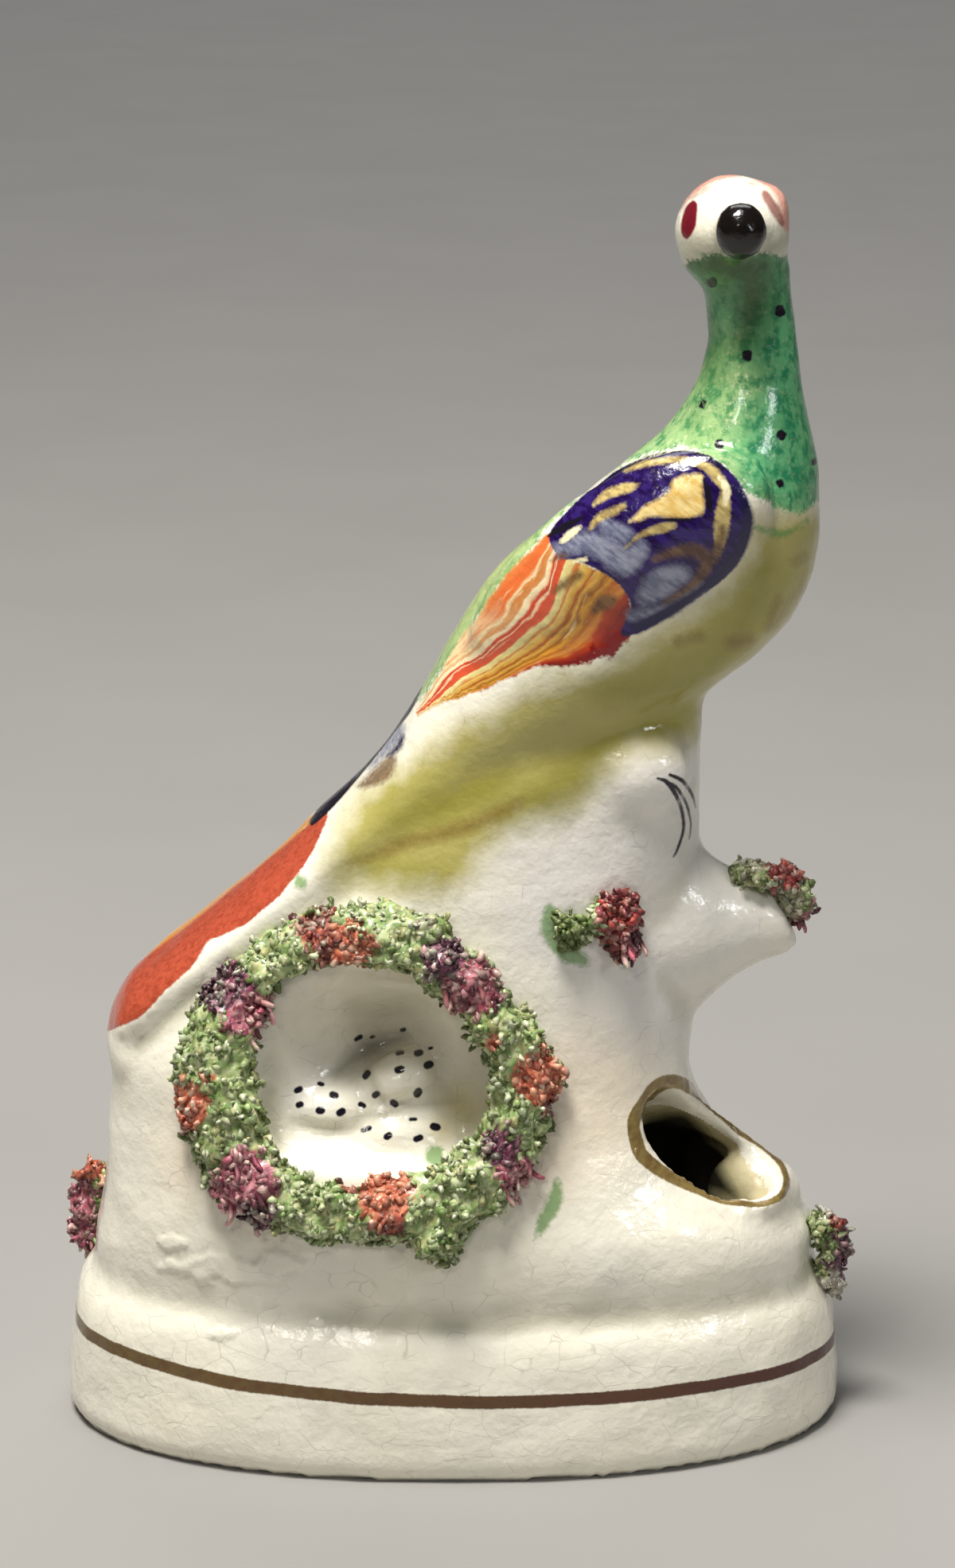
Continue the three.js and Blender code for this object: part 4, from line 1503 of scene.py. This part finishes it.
# %% The painted glaze
glaze = Finish("painted_glaze")
mm = glaze.in_mm()
fine = glaze.noise(mm, 2.2, 3.0, 0.6) - 0.5
broad = glaze.noise(mm, 0.35, 2.0) - 0.5
mottle = glaze.noise(mm, 0.9, 4.0, 0.65)
speckle = glaze.noise(mm, 1.5, 3.0, 0.7)
across_figure = glaze.node("ShaderNodeSeparateXYZ", None, {0: mm}, "X")
up_figure = glaze.node("ShaderNodeSeparateXYZ", None, {0: mm}, "Z")


def painted(name, soft=0.12, ragged=0.25, wander=0.0):
    """How much of a paint covers each place: 0 bare, 1 covered."""
    field = glaze.stored(name) + fine * ragged
    if wander:
        field = field + broad * wander
    return glaze.clamped(field / soft + 0.5)


def laid(colour, *layers):
    """Lays paints on a colour: each a name, a tint, its strength, and how soft,
    ragged and wandering its edge is, in millimetres."""
    for name, tint, strength, *edge in layers:
        share = painted(name, *edge)
        if strength < 1:
            share = share * strength
        tint = tint if isinstance(tint, Wire) else rgba(*tint)
        colour = glaze.blend(share, colour, tint)
    return colour


# %% Cream glaze, its tints and painted shade
colour = glaze.blend(glaze.noise(mm, 0.09, 2.0), rgba(250, 243, 220), rgba(242, 240, 228))
colour = glaze.blend(glaze.clamped(mottle * 3 - 1.95) * 0.3, colour, rgba(228, 208, 180))
# The lavender tint is painted shade.
colour = laid(
    colour,
    ("cool", (222, 219, 230), 0.35, 9.0, 0.0, 8.0),
    ("blush", (247, 222, 192), 0.4, 7.0, 0.0, 5.0),
)
# Greyer in hollows: partly glaze gathered there, partly painted shade.
colour = glaze.blend(glaze.clamped(glaze.stored("cupped") * 0.65), colour, rgba(196, 192, 168))
# Painted shade in the nest and under the head; the yellow wall and the inner wall are tints.
colour = laid(
    colour,
    ("pooled", (196, 188, 158), 0.3, 3.0, 0.3, 2.0),
    ("dark_pool", (124, 120, 104), 0.7, 1.6, 0.5, 0.5),
    ("egg_gap", (150, 146, 118), 0.5, 1.1, 0.3, 0.3),
    ("yellow_wall", (236, 220, 166), 0.6, 3.0, 0.3, 1.0),
    ("cheek_shade", (118, 122, 84), 0.8, 3.4, 0.4, 0.5),
    ("inner_wall", (216, 200, 148), 0.7, 0.5, 0.0),
)
# Deeper in the quill hole an olive grades towards the near black: painted shade.
hole_shade = painted("hollow", 5.0, 0.0) * painted("inner_wall", 0.5, 0.0)
colour = glaze.blend(hole_shade, colour, rgba(142, 138, 78))

# %% Crackle, mostly near the base
CRACKLED_BELOW = 26

waver = glaze.node(
    "ShaderNodeTexNoise", None, {"Vector": mm, "Scale": 0.25, "Detail": 1.0}, "Color"
)
drawn_out = glaze.vector("MULTIPLY", mm, (0.8, 0.8, 1.5))
cells = glaze.vector("ADD", drawn_out, glaze.vector("SCALE", waver, 2.4))
cell_edge = glaze.node(
    "ShaderNodeTexVoronoi", {"feature": "DISTANCE_TO_EDGE"}, {"Vector": cells, "Scale": 0.27},
    "Distance",
)
near_base = glaze.clamped((CRACKLED_BELOW - up_figure) / 10)
crackle = glaze.clamped(1 - cell_edge * 50) * glaze.clamped(broad * 5 + 0.15 + near_base * 0.6)
colour = glaze.blend(crackle * 0.3, colour, rgba(120, 110, 92))

# %% Washes of green, yellow-green and brown
# The belly's olive wash is darkened to stand for its shade as well: partly painted shade.
colour = laid(
    colour,
    ("olive", (172, 162, 70), 0.9, 4.0, 0.6, 3.0),
    ("olive_edge", (142, 136, 48), 0.8, 5.0, 0.6, 2.0),
    ("umber", (124, 96, 44), 0.6, 1.2, 0.9, 0.5),
)
sponge = glaze.noise(glaze.vector("MULTIPLY", mm, (1, 1, 0.7)), 0.75, 3.0, 0.6)
dabbed = sponge * 6 - 2.7
in_emerald = painted("emerald", 5.0, 2.0, 5.0)
green = glaze.blend(
    in_emerald,
    glaze.two_tone(dabbed, (158, 194, 132), (88, 150, 96)),
    glaze.two_tone(dabbed, (102, 176, 122), (46, 134, 92)),
)
bare_specks = glaze.clamped(speckle * 8 - 4.4) * (0.65 - in_emerald * 0.45)
green = glaze.blend(bare_specks, green, rgba(214, 218, 172))
green = glaze.blend(glaze.clamped(2.6 - speckle * 8) * 0.5, green, rgba(40, 104, 60))
green = laid(
    green,
    ("faded_back", (196, 204, 138), 0.75, 2.5, 1.0, 1.5),
    ("shaded_green", (58, 78, 32), 0.85, 4.0, 1.5, 2.0),
    ("dark_side", (62, 118, 66), 0.75, 2.6, 1.8, 1.0),
)
colour = laid(colour, ("green", green, 1, 0.5, 2.0, 1.2))

# %% [markdown]
# ## Streaked feathers
# Under the wing, orange, gold and cream were drawn side by side in long strokes.
# Stripes follow the stored distance across the flow, through a ramp of colours,
# and noise drawn out along the flow breaks them up as a dry brush would.

# %% Streaked feathers
STRIPES = [
    (0.00, 204, 196, 112), (0.04, 220, 130, 70), (0.10, 228, 112, 58), (0.17, 230, 118, 60),
    (0.20, 248, 222, 172), (0.22, 212, 134, 68), (0.27, 222, 148, 88), (0.29, 248, 234, 192),
    (0.33, 246, 220, 174), (0.35, 208, 76, 48), (0.37, 212, 82, 54), (0.385, 248, 218, 176),
    (0.40, 216, 86, 56), (0.48, 222, 96, 60), (0.50, 240, 226, 160), (0.54, 222, 204, 128),
    (0.56, 202, 108, 58), (0.58, 230, 198, 108), (0.63, 212, 158, 68), (0.66, 166, 86, 38),
    (0.69, 224, 174, 78), (0.74, 156, 92, 34), (0.77, 218, 158, 58), (0.82, 188, 108, 40),
    (0.86, 220, 146, 66), (0.90, 186, 68, 34), (0.95, 146, 40, 28), (1.00, 118, 26, 26),
]

across_flow = glaze.stored("across_feathers")
along_flow = glaze.stored("along_feathers")
flow_place = glaze.node(
    "ShaderNodeCombineXYZ", None, {"X": across_flow * 1.7, "Y": along_flow * 0.17}
)
streaks = glaze.noise(flow_place, 1.0, 3.0, 0.6)
across = across_flow + broad * 1.1 + (streaks - 0.5)
ramp = {"stops": [(place, rgba(*tint)) for place, *tint in STRIPES]}
stripes = glaze.node("ShaderNodeValToRGB", ramp, {"Fac": across / GUIDE_SHARES[-1]}, "Color")
faded = glaze.clamped((along_flow - 9) / 5) * glaze.clamped(2.0 - across * 0.6)
stripes = glaze.blend(faded * glaze.clamped(streaks * 5 - 1.6) * 0.8, stripes, rgba(246, 230, 178))
stripes = glaze.blend(glaze.clamped(streaks * 9 - 5.4) * 0.5, stripes, rgba(250, 234, 180))
colour = laid(
    colour,
    ("feathers", stripes, 1, 0.3, 0.6, 1.2),
    ("dark_red", (128, 24, 22), 1, 0.3, 0.8),
)

# %% The wing and the other enamels
WING_SLANT = 37

along_wing = glaze.node(
    "ShaderNodeVectorRotate", {"rotation_type": "Y_AXIS"},
    {"Vector": mm, "Angle": math.radians(-WING_SLANT)},
)
brush_hairs = glaze.noise(glaze.vector("MULTIPLY", along_wing, (0.22, 0.8, 1.1)), 1.5, 2.0, 0.55)
hairs = brush_hairs * 5 - 2.0
colour = laid(
    colour,
    ("wing", glaze.two_tone(hairs, (30, 8, 66), (48, 30, 100)), 1, 0.2, 0.25),
    ("pale_blue", glaze.two_tone(hairs, (118, 124, 150), (160, 164, 180)), 0.9, 1.0, 0.8, 0.8),
    ("tan", glaze.two_tone(hairs, (164, 142, 92), (206, 184, 118)), 1, 0.35, 0.6),
    (
        "gold_feather", glaze.two_tone(brush_hairs * 4 - 1.5, (228, 188, 104), (248, 224, 156)),
        1, 0.5, 0.6,
    ),
    ("brown", glaze.two_tone(hairs, (92, 64, 46), (126, 94, 56)), 0.85, 0.6, 0.7),
    ("cream", (250, 240, 196), 1, 0.25, 0.4),
    ("orange", glaze.two_tone(speckle * 4 - 1.7, (190, 86, 60), (160, 66, 44)), 1, 0.2, 0.35, 0.3),
    ("yellow_edge", (220, 148, 46), 1, 0.3, 0.3),
    ("pink", (222, 150, 132), 0.85, 0.5, 0.5, 0.4),
    ("shadow_line", (96, 66, 44), 0.6, 0.5, 0.3),
    ("leaf", (112, 158, 84), 0.8, 0.5, 0.8, 0.6),
    ("red", glaze.two_tone(mottle, (96, 14, 30), (136, 34, 44)), 1, 0.2, 0.15),
    ("faint_red", (156, 92, 84), 0.85, 0.3, 0.2),
    ("blue_mark", (30, 26, 68), 1, 0.5, 0.3),
)

# %% Gold, black and the dark of the hole
LINE_BELOW = 16
REDDER_OVER = 70

to_the_right = glaze.clamped(across_figure / REDDER_OVER + 0.5)
on_the_line = glaze.clamped((LINE_BELOW - up_figure) / 3)
gold = glaze.blend(on_the_line, rgba(146, 126, 76), rgba(108, 88, 46))
gold = glaze.blend(to_the_right * on_the_line, gold, rgba(80, 42, 32))
gold = glaze.blend(glaze.clamped(mottle * 4 - 1.7) * 0.55, gold, rgba(92, 52, 36))
gilded = painted("gilding", 0.16, 0.22, 0.15)
colour = glaze.blend(gilded, colour, gold)
colour = laid(
    colour,
    ("ink", (26, 22, 34), 1, 0.16, 0.14),
    ("beak", (20, 15, 13), 1, 0.08, 0.06),
)
# The walls deep in the hole are painted near black: painted shade.
hollow = painted("hollow", 1.4, 0.3)
colour = glaze.blend(hollow * 0.97, colour, rgba(22, 18, 14))

# %% Relief and shine
relief = fine * 0.035 + (glaze.noise(mm, 0.8, 2.0) * 0.16) + gilded * 0.02 - crackle * 0.012
figure.data.materials.append(glaze.surface({
    "Base Color": colour,
    "Roughness": mottle * 0.14 + 0.10 + hollow * 0.4,
    "Metallic": gilded * 0.15,
    "Normal": glaze.bump(relief, 0.7),
    "Coat Weight": 0.2 - hollow * 0.2,
    "Coat Roughness": 0.05,
    "Coat IOR": 1.5,
}))

# %% [markdown]
# ## The clay's finish
# The threads carry their stored colour, painted shade and glints included. The
# finish only breaks it up, with darker pores and a glaze that is thinner and
# duller than the body's.

# %% The clay's finish
clay = Finish("shredded_clay")
grain = clay.noise(clay.in_mm(), 3.0, 3.0, 0.65)
tinted = clay.stored("clay_colour", "Color")
tinted = clay.blend(clay.clamped(grain * 4 - 2.2) * 0.4, tinted, rgba(238, 234, 208))
tinted = clay.blend(clay.clamped(1.4 - grain * 4) * 0.5, tinted, rgba(48, 46, 28))
clay_finish = clay.surface({
    "Base Color": tinted,
    "Roughness": grain * 0.3 + 0.3,
    "Normal": clay.bump(grain * 0.12, 0.6),
    "Coat Weight": 0.25,
    "Coat Roughness": 0.1,
})
for piece in clay_pieces:
    piece.data.materials.append(clay_finish)

# %% [markdown]
# ## Floor and light
# The studio is plain: a pale floor and soft boxes. One box hangs high up, a
# little to the left and in front, so it lights all that faces up and leaves the
# belly in shade. Two small weak ones stand in front, left and right, and put a
# glint on the glaze. A wide one lights the floor far behind.

# %% The floor
only()
bpy.ops.mesh.primitive_plane_add(size=8)
floor = bpy.context.object
floor.name = "floor"
ground = Finish("pale_floor")
ground_noise = ground.noise(ground.in_mm(), 0.02, 2.0)
ground_colour = ground.blend(ground_noise, rgba(146, 144, 141), rgba(153, 151, 148))
floor.data.materials.append(ground.surface({"Base Color": ground_colour, "Roughness": 0.8}))

# %% The lights
MIDDLE = (0, 0, 0.07)
FAR_FLOOR = (0, 1.9, 0)
SKY = (0.8, 0.82, 0.85, 1)
SKY_STRENGTH = 0.05


def soft_box(name, at, aim, size, watts, tint=(1, 1, 1)):
    light = bpy.data.lights.new(name, "AREA")
    light.shape = "SQUARE"
    light.size = size
    light.energy = watts
    light.color = tint
    box = put_in_scene(name, light)
    box.location = at
    box.rotation_euler = (Vector(aim) - Vector(at)).to_track_quat("-Z", "Y").to_euler()
    print(name, watts, "W")


soft_box("above", (-0.13, -0.15, 0.86), MIDDLE, 0.26, 11.5, (1, 0.97, 0.92))
soft_box("front_left", (-0.24, -0.70, 0.56), MIDDLE, 0.10, 0.7, (1, 0.96, 0.9))
soft_box("right", (0.62, -0.56, 0.41), MIDDLE, 0.12, 0.9, (0.93, 0.97, 1))
soft_box("backdrop", (0, 1.6, 1.6), FAR_FLOOR, 1.6, 20.0)

world = bpy.data.worlds.new("studio")
world.use_nodes = True
sky = world.node_tree.nodes["Background"].inputs
sky["Color"].default_value = SKY
sky["Strength"].default_value = SKY_STRENGTH
bpy.context.scene.world = world
bpy.context.scene.view_settings.view_transform = "Standard"
